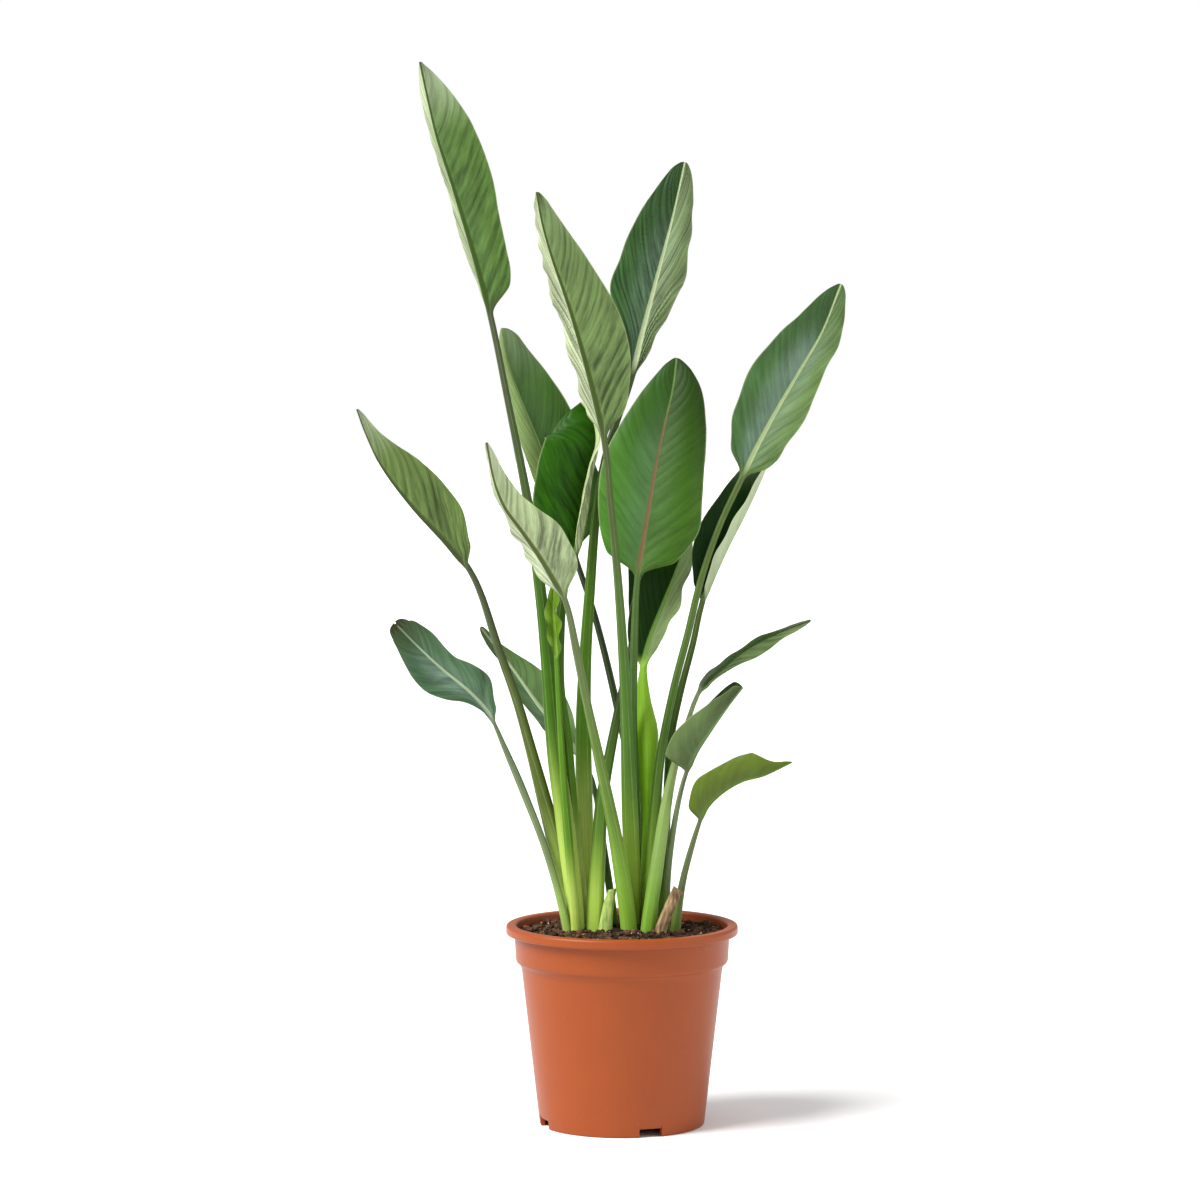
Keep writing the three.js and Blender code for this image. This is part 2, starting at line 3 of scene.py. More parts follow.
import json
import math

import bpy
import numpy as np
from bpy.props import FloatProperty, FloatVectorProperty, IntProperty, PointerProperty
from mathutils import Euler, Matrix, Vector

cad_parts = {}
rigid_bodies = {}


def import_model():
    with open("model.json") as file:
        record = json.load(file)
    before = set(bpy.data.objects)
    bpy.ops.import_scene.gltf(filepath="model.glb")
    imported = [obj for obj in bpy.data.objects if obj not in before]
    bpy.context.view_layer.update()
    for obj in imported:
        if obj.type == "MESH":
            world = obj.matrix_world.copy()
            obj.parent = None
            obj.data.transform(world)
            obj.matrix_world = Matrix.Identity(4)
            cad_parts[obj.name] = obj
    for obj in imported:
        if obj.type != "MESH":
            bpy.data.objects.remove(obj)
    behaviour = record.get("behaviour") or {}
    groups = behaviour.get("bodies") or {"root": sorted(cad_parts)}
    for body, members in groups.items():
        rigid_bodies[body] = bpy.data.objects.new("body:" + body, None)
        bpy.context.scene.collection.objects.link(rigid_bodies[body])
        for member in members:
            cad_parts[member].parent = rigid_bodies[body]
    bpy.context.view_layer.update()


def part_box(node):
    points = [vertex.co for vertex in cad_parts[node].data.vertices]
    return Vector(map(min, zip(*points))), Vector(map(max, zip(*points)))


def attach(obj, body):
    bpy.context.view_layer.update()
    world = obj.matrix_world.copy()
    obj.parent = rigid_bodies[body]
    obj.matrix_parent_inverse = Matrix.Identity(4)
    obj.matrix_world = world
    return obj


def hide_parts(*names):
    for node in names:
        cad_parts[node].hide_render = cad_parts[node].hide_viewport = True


bl_info = {
    "name": "Potted bird of paradise",
    "version": (1, 0, 0),
    "blender": (4, 5, 0),
    "location": "View3D > Sidebar > Plant",
    "description": "Dresses the packed plant: pot, soil, eighteen leaves, two stumps and a studio",
    "category": "Add Mesh",
}

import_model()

MM = 0.001
POT_LOW, POT_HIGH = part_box("pot")
POT_PLACE = np.array([(POT_LOW.x + POT_HIGH.x) / 2, (POT_LOW.y + POT_HIGH.y) / 2, 0.0])

# Pot, in millimetres, as in the solids
LIP_RADIUS = 119.5
LIP_HEIGHT = 10
POT_HEIGHT = 207
COLLAR_TOP_RADIUS = 111
COLLAR_FOOT_RADIUS = 109.3
COLLAR_FOOT = 169
BODY_TOP_RADIUS = 103.5
BODY_TOP = 161
STEP_WIDTH = 1.4
STEP_HEIGHT = 4.5
FOOT_RADIUS = 85
FOOT_RING = 4
WALL = 2.4
FLOOR_UNDERSIDE = 9
FLOOR = 3
FLOOR_MIDDLE = 38
NOTCHES = 4
FIRST_NOTCH = -70
NOTCH_BLEND = 12
DRAINS = 6
DRAIN_RADIUS = 6
DRAIN_CIRCLE = 52
SOIL_EDGE = 197
SOIL_RADIUS = 107.2
SOIL_MOUND = 5.5
MOUND_WIDTH = 70
SOIL_FOOT = 12.3
SOIL_GAP = 0.7
ROOT_END = 172
ROOT_LEAN = 0.4

# How wide the side light is, how far left of the camera and how high
SIDE_LIGHT = (math.radians(60), math.radians(-78), math.radians(18))

# Leaf section: lengths in millimetres, and shares of the blade's length, of the rib's width or of a half
GROOVE = 0.93
STALK_DEPTH = 0.84
RIB_TIP_WIDTH = 2
RIB_TIP_DEPTH = 1.1
BASE_ROUND = 0.09
TIP_ROUND = 0.05
BLENDED = 0.1
RIB_BASE_DEPTH = 0.7
RIB_SLIM = 0.8
NARROWEST = 0.2
MARGIN_THICKNESS = 0.45
RIB_ARC = 26
HALF_ARC = 60
STALK_ROW = 11
FIRST_VEIN = 200
PLEAT_MIDDLE = 0.64
PLEAT_START = 0.08
PLEAT_CALM_START = 0.55
PLEAT_CALM_REACH = 0.45
PLEAT_CALMED = 0.6
RUFFLE_LENGTH = 34
TORN_START = 0.88
TORN_REACH = 0.12
FINE_VEINS = 7

# The veins' slow drift: how many veins, millimetres along for a turn of one radian, and radians by hand
VEIN_DRIFTS = ((0.4, 29, 2), (0.25, 11.7, 3))

# Colours that several leaves share
# A painted sheen: the grey-blue reflection of the bright surroundings beside a rib
PAINTED_SHEEN = 0x8FA89A
PALE_TIP = 0xDCE4C8
PALE_MARGIN = 0xB9C48E
GREEN_RIB = 0x6E9448
WITHERED = 0x2E3414
DRY = 0x2C2816
STALK_RIDGE = 0xC4D49A
# Pale sheath edges, with a painted highlight along the stalks' sides
SHEATH_EDGE_HIGHLIGHT = 0xD6E0A0

# The halves' greens are partly painted light and shade: darker where a half lay in shade, paler where it was
# lit
# Each leaf, in millimetres from the point under the pot's middle:
# - stalk and rib: the middle line from the soil to the blade's base, and from there to the tip
# - thick: the stalk's width at even places from soil to blade, the last one also the rib's at its base
# - left, right: the half widths at nine even places from base to tip
# - turn, fold: degrees about the rib, and by which the halves are folded up, at the base and the tip
# - wave: the height and number of the waves in the margins; ruffle: the height of the ruffles left and right
# - pleat: the depth of the pleats, which also sets the painted shade in their creases; lean: how far the
#   veins lean to the tip, in widths
# - bulge: how far the halves bow, where less than 0 is convex; curl: how far the margins turn back
# - torn: how far the points of a torn tip slip back
# - veins: the strength of the streaks; painted_sheen: that of the painted sheen beside the rib, a grey-blue
#   reflection
# - tip: how much darker the tip is, or paler where less than 0
# - dry_tip, brown_rib: the share of the length where a dry tip starts, and where a brown rib ends
# - colours: left and right are the halves of the face that shows in front, and back is the other face; the
#   stalk goes from foot through stem to stalk
# PLAIN_LEAF holds what a leaf has unless it says otherwise
PLAIN_LEAF = dict(lean=1.2, bulge=0.05, curl=(0, 0), torn=0, veins=0.3, painted_sheen=0, tip=0)
LEAVES = {
    "leaf_tall_left": dict(
        stalk=[(-46.5, -7, 205), (-59, -10, 315), (-69, -11, 388), (-76.5, -16, 481), (-82.5, -22, 543),
               (-95.5, -33, 640), (-116, -46, 747), (-132.5, -58, 830)],
        rib=[(-148, -72, 890), (-168, -88, 957.5), (-185, -104, 1011), (-194, -113, 1050.5),
             (-200.5, -120, 1082.5)],
        thick=(17, 19, 16, 13, 10.5, 7.5, 6.5), left=(8, 17, 27, 26, 20, 17, 18, 15, 3),
        right=(12, 30, 34, 37, 41, 41, 36.5, 23, 3), turn=(31, 24), fold=(-45, -40), wave=(0.5, 3), pleat=1.3,
        lean=1.1, ruffle=(0.3, 0.5), veins=1, tip=-0.5, painted_sheen=0.25,
        colours=dict(left=0xB6C896, right=0x668C40, back=0x3F6A20, rib=0x46641E, stalk=0x505A3C,
                     stem=0x42700A, foot=0xA8C054)),
    "leaf_left_high": dict(
        stalk=[(-51, 5, 205), (-67, 2, 283), (-80.5, 0, 337), (-93.5, -3, 387), (-108, -8, 439),
               (-127, -13, 494), (-145, -18, 551), (-156, -20, 574)],
        rib=[(-176, -25, 600), (-213, -33, 640), (-244.5, -42, 682), (-260, -47, 715), (-268, -50, 738)],
        thick=(14, 18, 15.5, 12, 10.5, 9.5, 7.5), left=(8, 22, 29, 28, 25, 21, 16, 9, 3),
        right=(9, 20, 35, 39, 39, 34, 24, 12, 3), turn=(80, 74), fold=(-74, -68), wave=(1, 3), pleat=1.2,
        lean=1.8, ruffle=(0.6, 0.8), veins=1, tip=-0.4, painted_sheen=0.1,
        colours=dict(left=0xA0B27E, right=0x6E8846, back=0x45682F, rib=0x445428, stalk=0x4E583A,
                     stem=0x5C6E28, foot=0xA2C05A)),
    "leaf_left_low": dict(
        stalk=[(-57, -14.5, 205), (-77.5, -9, 282), (-103, -2, 348), (-124, 7, 396), (-131, 10, 412)],
        rib=[(-139, 13, 426), (-158, 18, 446), (-187, 28, 469), (-213, 36, 492.5), (-236, 42, 515.5)],
        thick=(9, 7.5, 7.5, 7.5, 4), left=(4, 5, 12, 23, 30, 29, 23, 16, 12),
        right=(5, 13, 26, 25, 20, 20, 21, 18, 13), turn=(-5, -5), fold=(22, 14), wave=(1.6, 2), pleat=0.25,
        ruffle=(0.8, 1), veins=0.8, tip=0.5, painted_sheen=1.1, torn=9, dry_tip=0.965,
        colours=dict(left=0x4C6C4C, right=0x527250, back=0x6F8F62, rib=0xA5B894, stalk=0x6E7C5A,
                     stem=0x7C8E60, foot=0x8CAA54)),
    "leaf_inner": dict(
        stalk=[(-41, 14.5, 205), (-53, 6, 334), (-58, 4, 397), (-65, 2, 449), (-64.5, 1, 500), (-60, 4, 551),
               (-49, 8, 585)],
        rib=[(-39, 14, 625), (-32, 18, 669), (-25, 23, 704.5), (-30, 29, 727), (-42.5, 35, 743.5)],
        thick=(15, 15, 14, 14, 13, 11, 8), left=(38, 47, 55, 57, 57, 56, 55, 54, 36),
        right=(10, 18, 25, 28, 27, 25, 21, 14, 6), turn=(51, 34), fold=(62, 46), wave=(0.8, 5), pleat=1.2,
        ruffle=(0.5, 1.6), veins=1.1, bulge=0.12,
        colours=dict(left=0x2A5E02, right=0xD2E2A6, back=0xD2E2A6, rib=0x86AC4C, stalk=0x3C5C10,
                     stem=0x5A8A18, foot=0xCCE070)),
    "leaf_back_top": dict(
        stalk=[(-35, 27.5, 205), (-39, 19.5, 333), (-39.5, 21, 436), (-34, 29, 539), (-20, 45, 673),
               (10, 75, 768)],
        rib=[(20, 88, 809), (36, 106, 869.5), (53, 124, 933.5), (66.5, 140, 993.5)],
        thick=(16, 17.5, 16.5, 12.5, 10, 8, 7), left=(6.5, 19.5, 37, 47, 44, 41, 33.5, 22, 7.5),
        right=(4, 11, 16, 24, 27, 24, 20, 15, 6), turn=(2, 2), fold=(22, 14), wave=(1.5, 5), pleat=1.6,
        lean=1.7, ruffle=(0.5, 2.6), veins=1.2, tip=0.55, painted_sheen=0.4, curl=(0, 8),
        colours=dict(left=0x3F6632, right=0x7C9260, back=0x86A06A, rib=0xCADAA8, stalk=0x46582E,
                     stem=0x5C9018, foot=0xC8DA6A)),
    "leaf_back_left": dict(
        stalk=[(27, 16, 205), (18, 30, 311), (-6, 58, 431), (-28.5, 62, 522), (-48, 62, 581)],
        rib=[(-64.5, 64, 638), (-84, 68, 693), (-107, 73, 750), (-118.5, 75, 784.5), (-124.5, 76, 819.5)],
        thick=(10, 8.5, 7.5, 6), left=(4, 16, 25, 29.5, 28, 22.5, 16.5, 10.5, 5),
        right=(9, 32, 48, 48.5, 46, 44, 37, 26, 11), turn=(-22, -22), fold=(34, 30), wave=(0.8, 3), pleat=0.4,
        lean=1.5, ruffle=(0.4, 0.4), veins=0.6, tip=-0.15, painted_sheen=0.2,
        colours=dict(left=0xC2E28C, right=0x406426, back=0x7C9A5C, rib=0x8CAA64, stalk=0x3A4630,
                     stem=0x3A5222, foot=0x6E9430)),
    "leaf_back_dark": dict(
        stalk=[(-28, -8, 205), (-24, -4, 290), (-21, 6, 333), (-12, 16, 384), (-2, 30, 433), (9, 56, 484)],
        rib=[(18, 70, 526), (30, 86, 578), (41, 102, 634), (52, 115, 690)],
        thick=(18, 16, 13.5, 11, 9, 7), left=(4, 8, 14, 22, 28, 30, 27, 20, 6),
        right=(8, 16, 23, 26, 28, 28, 25, 19, 6), turn=(0, 0), fold=(24, 16), wave=(1.5, 3), pleat=0.3,
        lean=1.3, ruffle=(0.6, 0.6), tip=0.2, painted_sheen=0.1,
        colours=dict(left=0x24460E, right=0x284A10, back=0x5C7C4A, rib=0x5C7C46, stalk=0x46582E,
                     stem=0x6A9434, foot=0xA8C850)),
    "leaf_back_low": dict(
        stalk=[(-8, 16, 205), (-18.5, 28, 280), (-26, 36, 331), (-34, 43, 359.5), (-41.5, 46, 371.5)],
        rib=[(-58, 53, 396), (-84, 65, 424), (-114.5, 79, 465), (-147.5, 90, 507)],
        thick=(9, 8, 7, 6, 5), left=(5, 10, 15, 18, 16, 13, 10, 8, 5), right=(3, 8, 21, 28, 27, 21, 12, 5, 3),
        turn=(15, 15), fold=(-26, -22), wave=(1.6, 3), pleat=0.5, ruffle=(1.2, 1.6), veins=0.5, tip=0.3,
        painted_sheen=0.1, dry_tip=0.97,
        colours=dict(left=0x4A6A3C, right=0x6C8C50, back=0x3F5F38, rib=0xB5C79A, stalk=0x50683E,
                     stem=0x4E6E34, foot=0x6E9448)),
    "leaf_front_top": dict(
        stalk=[(12.5, -4, 205), (7, -14, 347), (3, -28, 451), (-4.5, -48, 565), (-12.5, -62, 646.5),
               (-18, -72, 705.5)],
        rib=[(-31.5, -88, 765), (-51.5, -112, 836), (-71, -138, 893), (-79.5, -151, 924), (-84.5, -165, 953)],
        thick=(14, 17, 13, 10, 8, 6.5), left=(12.5, 24, 26.5, 25.5, 25.5, 23.5, 16, 12, 2.5),
        right=(8, 31, 43.5, 48, 44, 36.5, 28.5, 17.5, 4.5), turn=(25, 22), fold=(-37, -34), wave=(1.2, 5),
        pleat=2.2, lean=1.05, ruffle=(1.6, 0.9), veins=0.9, tip=-0.12,
        colours=dict(left=0xCAD8AA, right=0x7C9858, back=0x4C7636, rib=0x4A6022, stalk=0x566638,
                     stem=0x55802C, foot=0x7C9A2A)),
    "leaf_front_light": dict(
        stalk=[(7, -18, 205), (-4.5, -28, 287), (-20, -43, 365.5), (-36.5, -70, 445), (-46.5, -92, 497),
               (-57.5, -115, 549)],
        rib=[(-68, -121, 568), (-83, -133, 594), (-102, -144, 622), (-116, -152, 642), (-126, -163, 667),
             (-134, -175, 708)],
        thick=(17, 16, 13, 11, 9, 8.5, 6), left=(8, 28, 30, 25, 15, 9, 8, 5, 2),
        right=(8, 29, 34, 34, 27, 21, 16, 9, 2), turn=(26, 22), fold=(-42, -38), wave=(1.4, 4), pleat=1.3,
        lean=0.9, ruffle=(2, 0.8), veins=1, tip=-0.45,
        colours=dict(left=0xCCDAB0, right=0xB4C692, back=0x557C3E, rib=0x5C6A30, stalk=0x6C7C50,
                     stem=0x6E9038, foot=0x78A032)),
    "leaf_front_broad": dict(
        stalk=[(12.5, 13, 205), (12.5, 6, 334.5), (11.5, -2, 438.5), (12.5, -6, 500.5), (15.5, -10, 563.5)],
        rib=[(21.5, -8, 602.5), (28.5, -6, 644), (35.5, 2, 685), (45, 12, 727.5), (52, 20, 758),
             (56, 30, 789)],
        thick=(12, 13, 11, 8, 8, 6), left=(20, 40, 50, 55, 54, 46, 36, 24, 6),
        right=(16, 40, 54, 52, 49, 46, 40, 29, 8), turn=(0, 0), fold=(12, 8), wave=(0.6, 3), pleat=0.5,
        lean=1, ruffle=(0.4, 0.4), veins=0.35, tip=1.3, painted_sheen=0.35, bulge=0.08, brown_rib=0.86, curl=(3, 12),
        colours=dict(left=0x528A2E, right=0x447018, back=0x87A566, rib=0x8C7450, stalk=0x567436,
                     stem=0x467622, foot=0x80A028)),
    "leaf_behind_broad": dict(
        stalk=[(23.5, 5, 205), (24.5, 11, 335), (24, 16, 396), (22, 20, 437), (22, 24, 468)],
        rib=[(29, 36, 498), (43, 49, 534), (57, 61, 569), (66, 72, 597), (68, 82, 626)],
        thick=(10, 10, 10, 10, 13, 22, 29, 17, 8), left=(10, 20, 28, 32, 32, 30, 27, 19, 5),
        right=(16, 34, 44, 46, 42, 34, 26, 16, 5), turn=(36, 34), fold=(40, 36), wave=(1.6, 4), pleat=0.3,
        ruffle=(0.8, 1.2), tip=0.1,
        colours=dict(left=0x1E400C, right=0x94AC70, back=0x9CB278, rib=0x78A048, stalk=0x94C832,
                     stem=0x86C41C, foot=0x8CB42A)),
    "leaf_right_high": dict(
        stalk=[(29, -6, 205), (33, -6, 305), (39, -7, 377.5), (52.5, -8, 449.5), (67, -7, 506),
               (80.5, -5, 562), (100, -3, 618.5), (121.5, 0, 664.5)],
        rib=[(138, 7, 698), (158, 16, 734.5), (183, 28, 776.5), (206, 40, 815.5), (226, 50, 865)],
        thick=(16, 14, 10, 8, 7.5, 6.5, 6), left=(10, 28, 41, 46, 47, 41, 33, 22, 5),
        right=(9, 24, 28, 31, 27, 23, 22, 15, 6), turn=(0, 0), fold=(20, 16), wave=(1.6, 4), pleat=0.45,
        lean=1.1, ruffle=(1.4, 2.4), veins=0.5, tip=0.7, painted_sheen=0.75,
        colours=dict(left=0x4E7440, right=0x68864A, back=0x86A06C, rib=0xC0D49A, stalk=0x5A7036,
                     stem=0x547A2A, foot=0x7A9C30)),
    "leaf_right_fold": dict(
        stalk=[(38, 8, 205), (43.5, 9, 272), (46.5, 8, 334.5), (50, 6, 396.5), (60.5, 5, 448.5),
               (73, 7, 496.5), (82, 10, 536.5)],
        rib=[(92.5, 15, 563), (108, 25, 594.5), (126, 36, 627), (143, 50, 660.5), (154.5, 60, 688)],
        thick=(12, 10, 9, 8, 7.5, 6.5), left=(9, 19, 31.5, 36, 36, 33, 29, 22, 5),
        right=(8, 18, 26, 29, 29, 27, 23, 16, 5), turn=(50, 46), fold=(64, 58), wave=(0.8, 4), pleat=0.25,
        ruffle=(0.4, 0.5), tip=-0.2,
        colours=dict(left=0x1C4210, right=0xB8C89A, back=0xB8C89A, rib=0x7C9A5C, stalk=0x50662A,
                     stem=0x3A6012, foot=0x5C8020)),
    "leaf_small_top": dict(
        stalk=[(26.5, -21, 205), (35, -19.5, 265), (41, -18, 306), (47, -14, 342), (54, -8, 372),
               (68, -1, 418), (78, 4, 444)],
        rib=[(87.5, 5, 457.5), (100.5, 6, 469), (126.5, 8, 489.5), (160.5, 9, 507), (194, 10, 520)],
        thick=(15, 14.5, 13.5, 12, 9, 6, 5), left=(18, 20, 17, 16, 16, 14, 12, 8, 3),
        right=(6, 5, 6, 9, 13, 12, 8, 6, 2), turn=(-34, -36), fold=(36, 34), wave=(0.8, 3), pleat=0.5,
        ruffle=(0.8, 0.9), veins=0.6, tip=-0.2,
        colours=dict(left=0x36541A, right=0x829E60, back=0x7C985A, rib=0x445C2C, stalk=0x8E9E6E,
                     stem=0x98B862, foot=0x6E9A30)),
    "leaf_small_mid": dict(
        stalk=[(45, -8, 205), (47.5, -8, 264), (53, -11, 308), (60, -20, 346), (65.5, -30, 367)],
        rib=[(74, -38, 388), (87, -49, 409), (104, -61, 434), (121, -75, 458)],
        thick=(8, 7, 7, 6.5, 5.5), left=(25, 28, 29.5, 28.5, 25, 20, 16, 11, 8),
        right=(12, 22, 26, 25, 23, 21, 19, 16, 11), turn=(-78, -76), fold=(-72, -66), wave=(0.8, 2),
        pleat=0.15, ruffle=(0.3, 0.3), tip=0.9, painted_sheen=0.1, bulge=-0.22,
        colours=dict(left=0x667C48, right=0x4A6430, back=0x4C6430, rib=0x7C9A5C, stalk=0x808E66,
                     stem=0x7C9060, foot=0x78964E)),
    "leaf_small_low": dict(
        stalk=[(55, -15, 205), (62.5, -19, 255), (71, -25, 289), (79, -30, 316)],
        rib=[(84.5, -35, 331), (98.5, -42, 346.5), (121, -53, 361), (144, -63, 368), (171, -72, 382)],
        thick=(11, 8.5, 7.5, 7, 5.5), left=(10.5, 18.5, 26.5, 26, 25, 26, 25, 9.5, 2),
        right=(10, 19, 24, 23, 24, 23, 17, 8, 2), turn=(-78, -76), fold=(-72, -68), wave=(1, 2), pleat=0.25,
        ruffle=(0.5, 0.5), veins=0.2, tip=0.25, painted_sheen=0.1, bulge=-0.16,
        colours=dict(left=0x627824, right=0x627824, back=0x546A1A, rib=0x6A8A34, stalk=0x6A784C,
                     stem=0x6A784C, foot=0x647C36)),
    "leaf_young": dict(
        stalk=[(-48, -18.5, 205), (-60, -22, 358), (-65, -26, 441), (-67, -29, 482)],
        rib=[(-68, -31, 506), (-70, -33, 533), (-69, -35, 560)],
        thick=(9, 9, 7, 5), left=(2, 4, 7, 9, 8, 9, 8, 6, 3), right=(3, 5, 8, 10, 10, 8, 9, 7, 3),
        turn=(20, 20), fold=(40, 40), wave=(2, 3), pleat=0.4, lean=1, ruffle=(1.6, 1.6),
        colours=dict(left=0x688E1C, right=0x5E8416, back=0x5E8416, rib=0x8CB440, stalk=0x5A8A18,
                     stem=0x5A8A18, foot=0xA8C054)),
}

WRINKLE_SEED = 3

# The cut stalk and the dry sheath: middle line, width and depth at the soil and at the top, how far the cut
# slants, the depth of the wrinkles, two colours and how dull they are
STUMPS = {
    "cut_stalk": dict(
        line=[(-17, -20, 205), (-14, -17, 228), (-10, -15, 245)], wide=(18, 9), deep=(11, 6), slant=4,
        wrinkle=0.05, dark=0x628430, light=0xB4C46C, roughness=0.5),
    "dry_sheath": dict(
        line=[(40, -28, 205), (48, -30, 228), (57, -31, 247)], wide=(12, 10), deep=(8, 5), slant=-3,
        wrinkle=0.22, dark=0x584430, light=0xB0966C, roughness=0.85),
}


def linear(web):
    """A web colour, such as 0xB35A30, as scene-linear red, green, blue and a solid alpha."""
    channels = [((web >> shift) & 255) / 255 for shift in (16, 8, 0)]
    return (*[c / 12.92 if c <= 0.04045 else ((c + 0.055) / 1.055) ** 2.4 for c in channels], 1.0)


def eased(x):
    """0 below 0, 1 above 1, and three x squared less two x cubed between."""
    x = np.clip(x, 0, 1)
    return x * x * (3 - 2 * x)


def between(start, end, share):
    """The value that lies a share of the way from start to end."""
    return start + (end - start) * share


def cubic(start, start_slope, end, end_slope, t):
    """The cubic from start to end with these slopes: each is weighed by its Hermite polynomial of t."""
    return (
        (2 * t**3 - 3 * t**2 + 1) * start + (t**3 - 2 * t**2 + t) * start_slope
        + (3 * t**2 - 2 * t**3) * end + (t**3 - t**2) * end_slope
    )


def along(values, share):
    """A smooth line through evenly spaced values: cubics whose end slopes are half the step from the value
    before to the value after."""
    values = np.asarray(values, float)
    last = len(values) - 1
    place = np.clip(share, 0, 1) * last
    k = np.minimum(np.floor(place).astype(int), last - 1)
    slopes = np.gradient(values)
    return cubic(values[k], slopes[k], values[k + 1], slopes[k + 1], place - k)


def circle(count):
    """This many even angles round a circle."""
    return np.arange(count) * 2 * np.pi / count


def turned(radius, around, height):
    """Points at radius times the cosine and the sine of the angle, and at the height, for numbers, rows,
    columns or grids of the three."""
    return np.stack(np.broadcast_arrays(radius * np.cos(around), radius * np.sin(around), height), -1)


def unit(vectors):
    """The vectors, each divided by its own length."""
    return vectors / np.linalg.norm(vectors, axis=-1, keepdims=True)


def curve_through(points, steps):
    """A centripetal Catmull-Rom curve: each stretch between two points is a cubic whose end slopes weigh the
    chords on both sides by the square roots of their lengths."""
    p = np.array(points, float)
    p = np.vstack([2 * p[0] - p[1], p, 2 * p[-1] - p[-2]])
    gap = np.sqrt(np.linalg.norm(np.diff(p, axis=0), axis=1))[:, None]
    d0, d1, d2 = gap[:-2], gap[1:-1], gap[2:]
    a, b, c, d = p[:-3], p[1:-2], p[2:-1], p[3:]
    start = ((b - a) / d0 - (c - a) / (d0 + d1) + (c - b) / d1) * d1
    end = ((c - b) / d1 - (d - b) / (d1 + d2) + (d - c) / d2) * d1
    t = (np.arange(steps) / steps)[None, :, None]
    line = cubic(*(v[:, None, :] for v in (b, start, c, end)), t)
    return np.vstack([line.reshape(-1, 3), p[-2]])


class MiddleLine:
    """The middle line of a stalk and its rib, from its buried end, measured along its own length."""

    STEPS = 80

    def __init__(self, stalk, rib=()):
        soil_point, following = np.array(stalk[0], float), np.array(stalk[1], float)
        deeper = (soil_point[2] - ROOT_END) / (following[2] - soil_point[2])
        root = soil_point - (following - soil_point) * deeper * ROOT_LEAN
        root[2] = ROOT_END
        self.line = curve_through([root, *stalk, *rib], self.STEPS)
        self.reach = np.concatenate([[0], np.cumsum(np.linalg.norm(np.diff(self.line, axis=0), axis=1))])
        self.ahead = unit(np.gradient(self.line, axis=0))
        self.length = self.reach[-1]
        self.soil = self.reach[self.STEPS]
        self.base = self.reach[min(self.STEPS * len(stalk), len(self.reach) - 1)]

    def at(self, distance, track=None):
        """The places, or another track's vectors, at these distances along the line."""
        track = self.line if track is None else track
        return np.stack([np.interp(distance, self.reach, track[:, i]) for i in range(3)], axis=-1)

    def across(self, distance, turn, face):
        """The directions right and out of the upper face: the first is square to the line and level with
        the picture, and both are turned about the line."""
        ahead = unit(self.at(distance, self.ahead))
        right = unit(np.cross([0.0, 1.0, 0.0], ahead))
        front = np.cross(right, ahead)
        cos, sin = np.cos(turn)[..., None], np.sin(turn)[..., None]
        return right * cos + front * sin, face * (front * cos - right * sin)


def value_noise(x, y, size, rng):
    """Random heights from -1 to 1 on a square lattice of this size, eased from knot to knot."""
    side = 64
    knots = rng.uniform(-1, 1, (side, side))
    i, j = np.floor(x / size).astype(int), np.floor(y / size).astype(int)
    s, t = eased(x / size - i), eased(y / size - j)
    rows = [between(knots[i % side, k % side], knots[(i + 1) % side, k % side], s) for k in (j, j + 1)]
    return between(*rows, t)


def tube_faces(rings, size, closed_ends=True):
    """The quads of a tube of rings with size points each, and the strips that close its two ends."""
    ring, point = np.meshgrid(np.arange(rings - 1), np.arange(size), indexing="ij")
    after = (point + 1) % size
    quads = np.stack([ring, ring, ring + 1, ring + 1], -1) * size + np.stack([point, after, after, point], -1)
    faces = quads.reshape(-1, 4)
    if closed_ends:
        i = np.arange(size // 2 - 1)
        foot = np.stack([i, size - 1 - i, size - 2 - i, i + 1], -1)
        top = foot[:, ::-1] + (rings - 1) * size
        faces = np.vstack([faces, foot, top])
    return faces


def fan_faces(rings, size):
    """The triangles of a turned shape's two poles, which are the last two points after its rings."""
    i = np.arange(size)
    after = (i + 1) % size
    low, high = rings * size, rings * size + 1
    foot = np.stack([after, i, np.full(size, low)], -1)
    top = np.stack([i, after, np.full(size, high)], -1) + [(rings - 1) * size, (rings - 1) * size, 0]
    return np.vstack([foot, top])


def outward(points, faces):
    """The quads, turned round if the volume that they close is negative. The volume is a sixth of the sum of
    the triple products of their triangles."""
    volume = 0
    for corners in ((0, 1, 2), (0, 2, 3)):
        a, b, c = (points[faces[:, k]] for k in corners)
        volume += np.einsum("ij,ij->", a, np.cross(b, c))
    return faces if volume > 0 else faces[:, ::-1]


def mesh_of(name, points, face_sets, attributes=None, sharp=50):
    """A smooth-shaded mesh from points in millimetres about the pot's middle, whose edges are sharp where
    faces meet at more than this many degrees. Each attribute is a vector for each point."""
    mesh = bpy.data.meshes.new(name)
    places = np.asarray(points, float).reshape(-1, 3) * MM + POT_PLACE
    faces = [face for faces in face_sets for face in faces.tolist()]
    mesh.from_pydata(places, [], faces)
    mesh.polygons.foreach_set("use_smooth", np.ones(len(mesh.polygons), bool))
    for key, values in (attributes or {}).items():
        layer = mesh.attributes.new(key, "FLOAT_VECTOR", "POINT")
        layer.data.foreach_set("vector", np.asarray(values, np.float32).reshape(-1))
    mesh.validate()
    mesh.update()
    mesh.set_sharp_from_angle(angle=math.radians(sharp))
    return mesh


def tube_mesh(name, points, attributes=None):
    """The mesh of a closed tube, from its rings of points."""
    places = points.reshape(-1, 3)
    return mesh_of(name, places, [outward(places, tube_faces(*points.shape[:2]))], attributes)


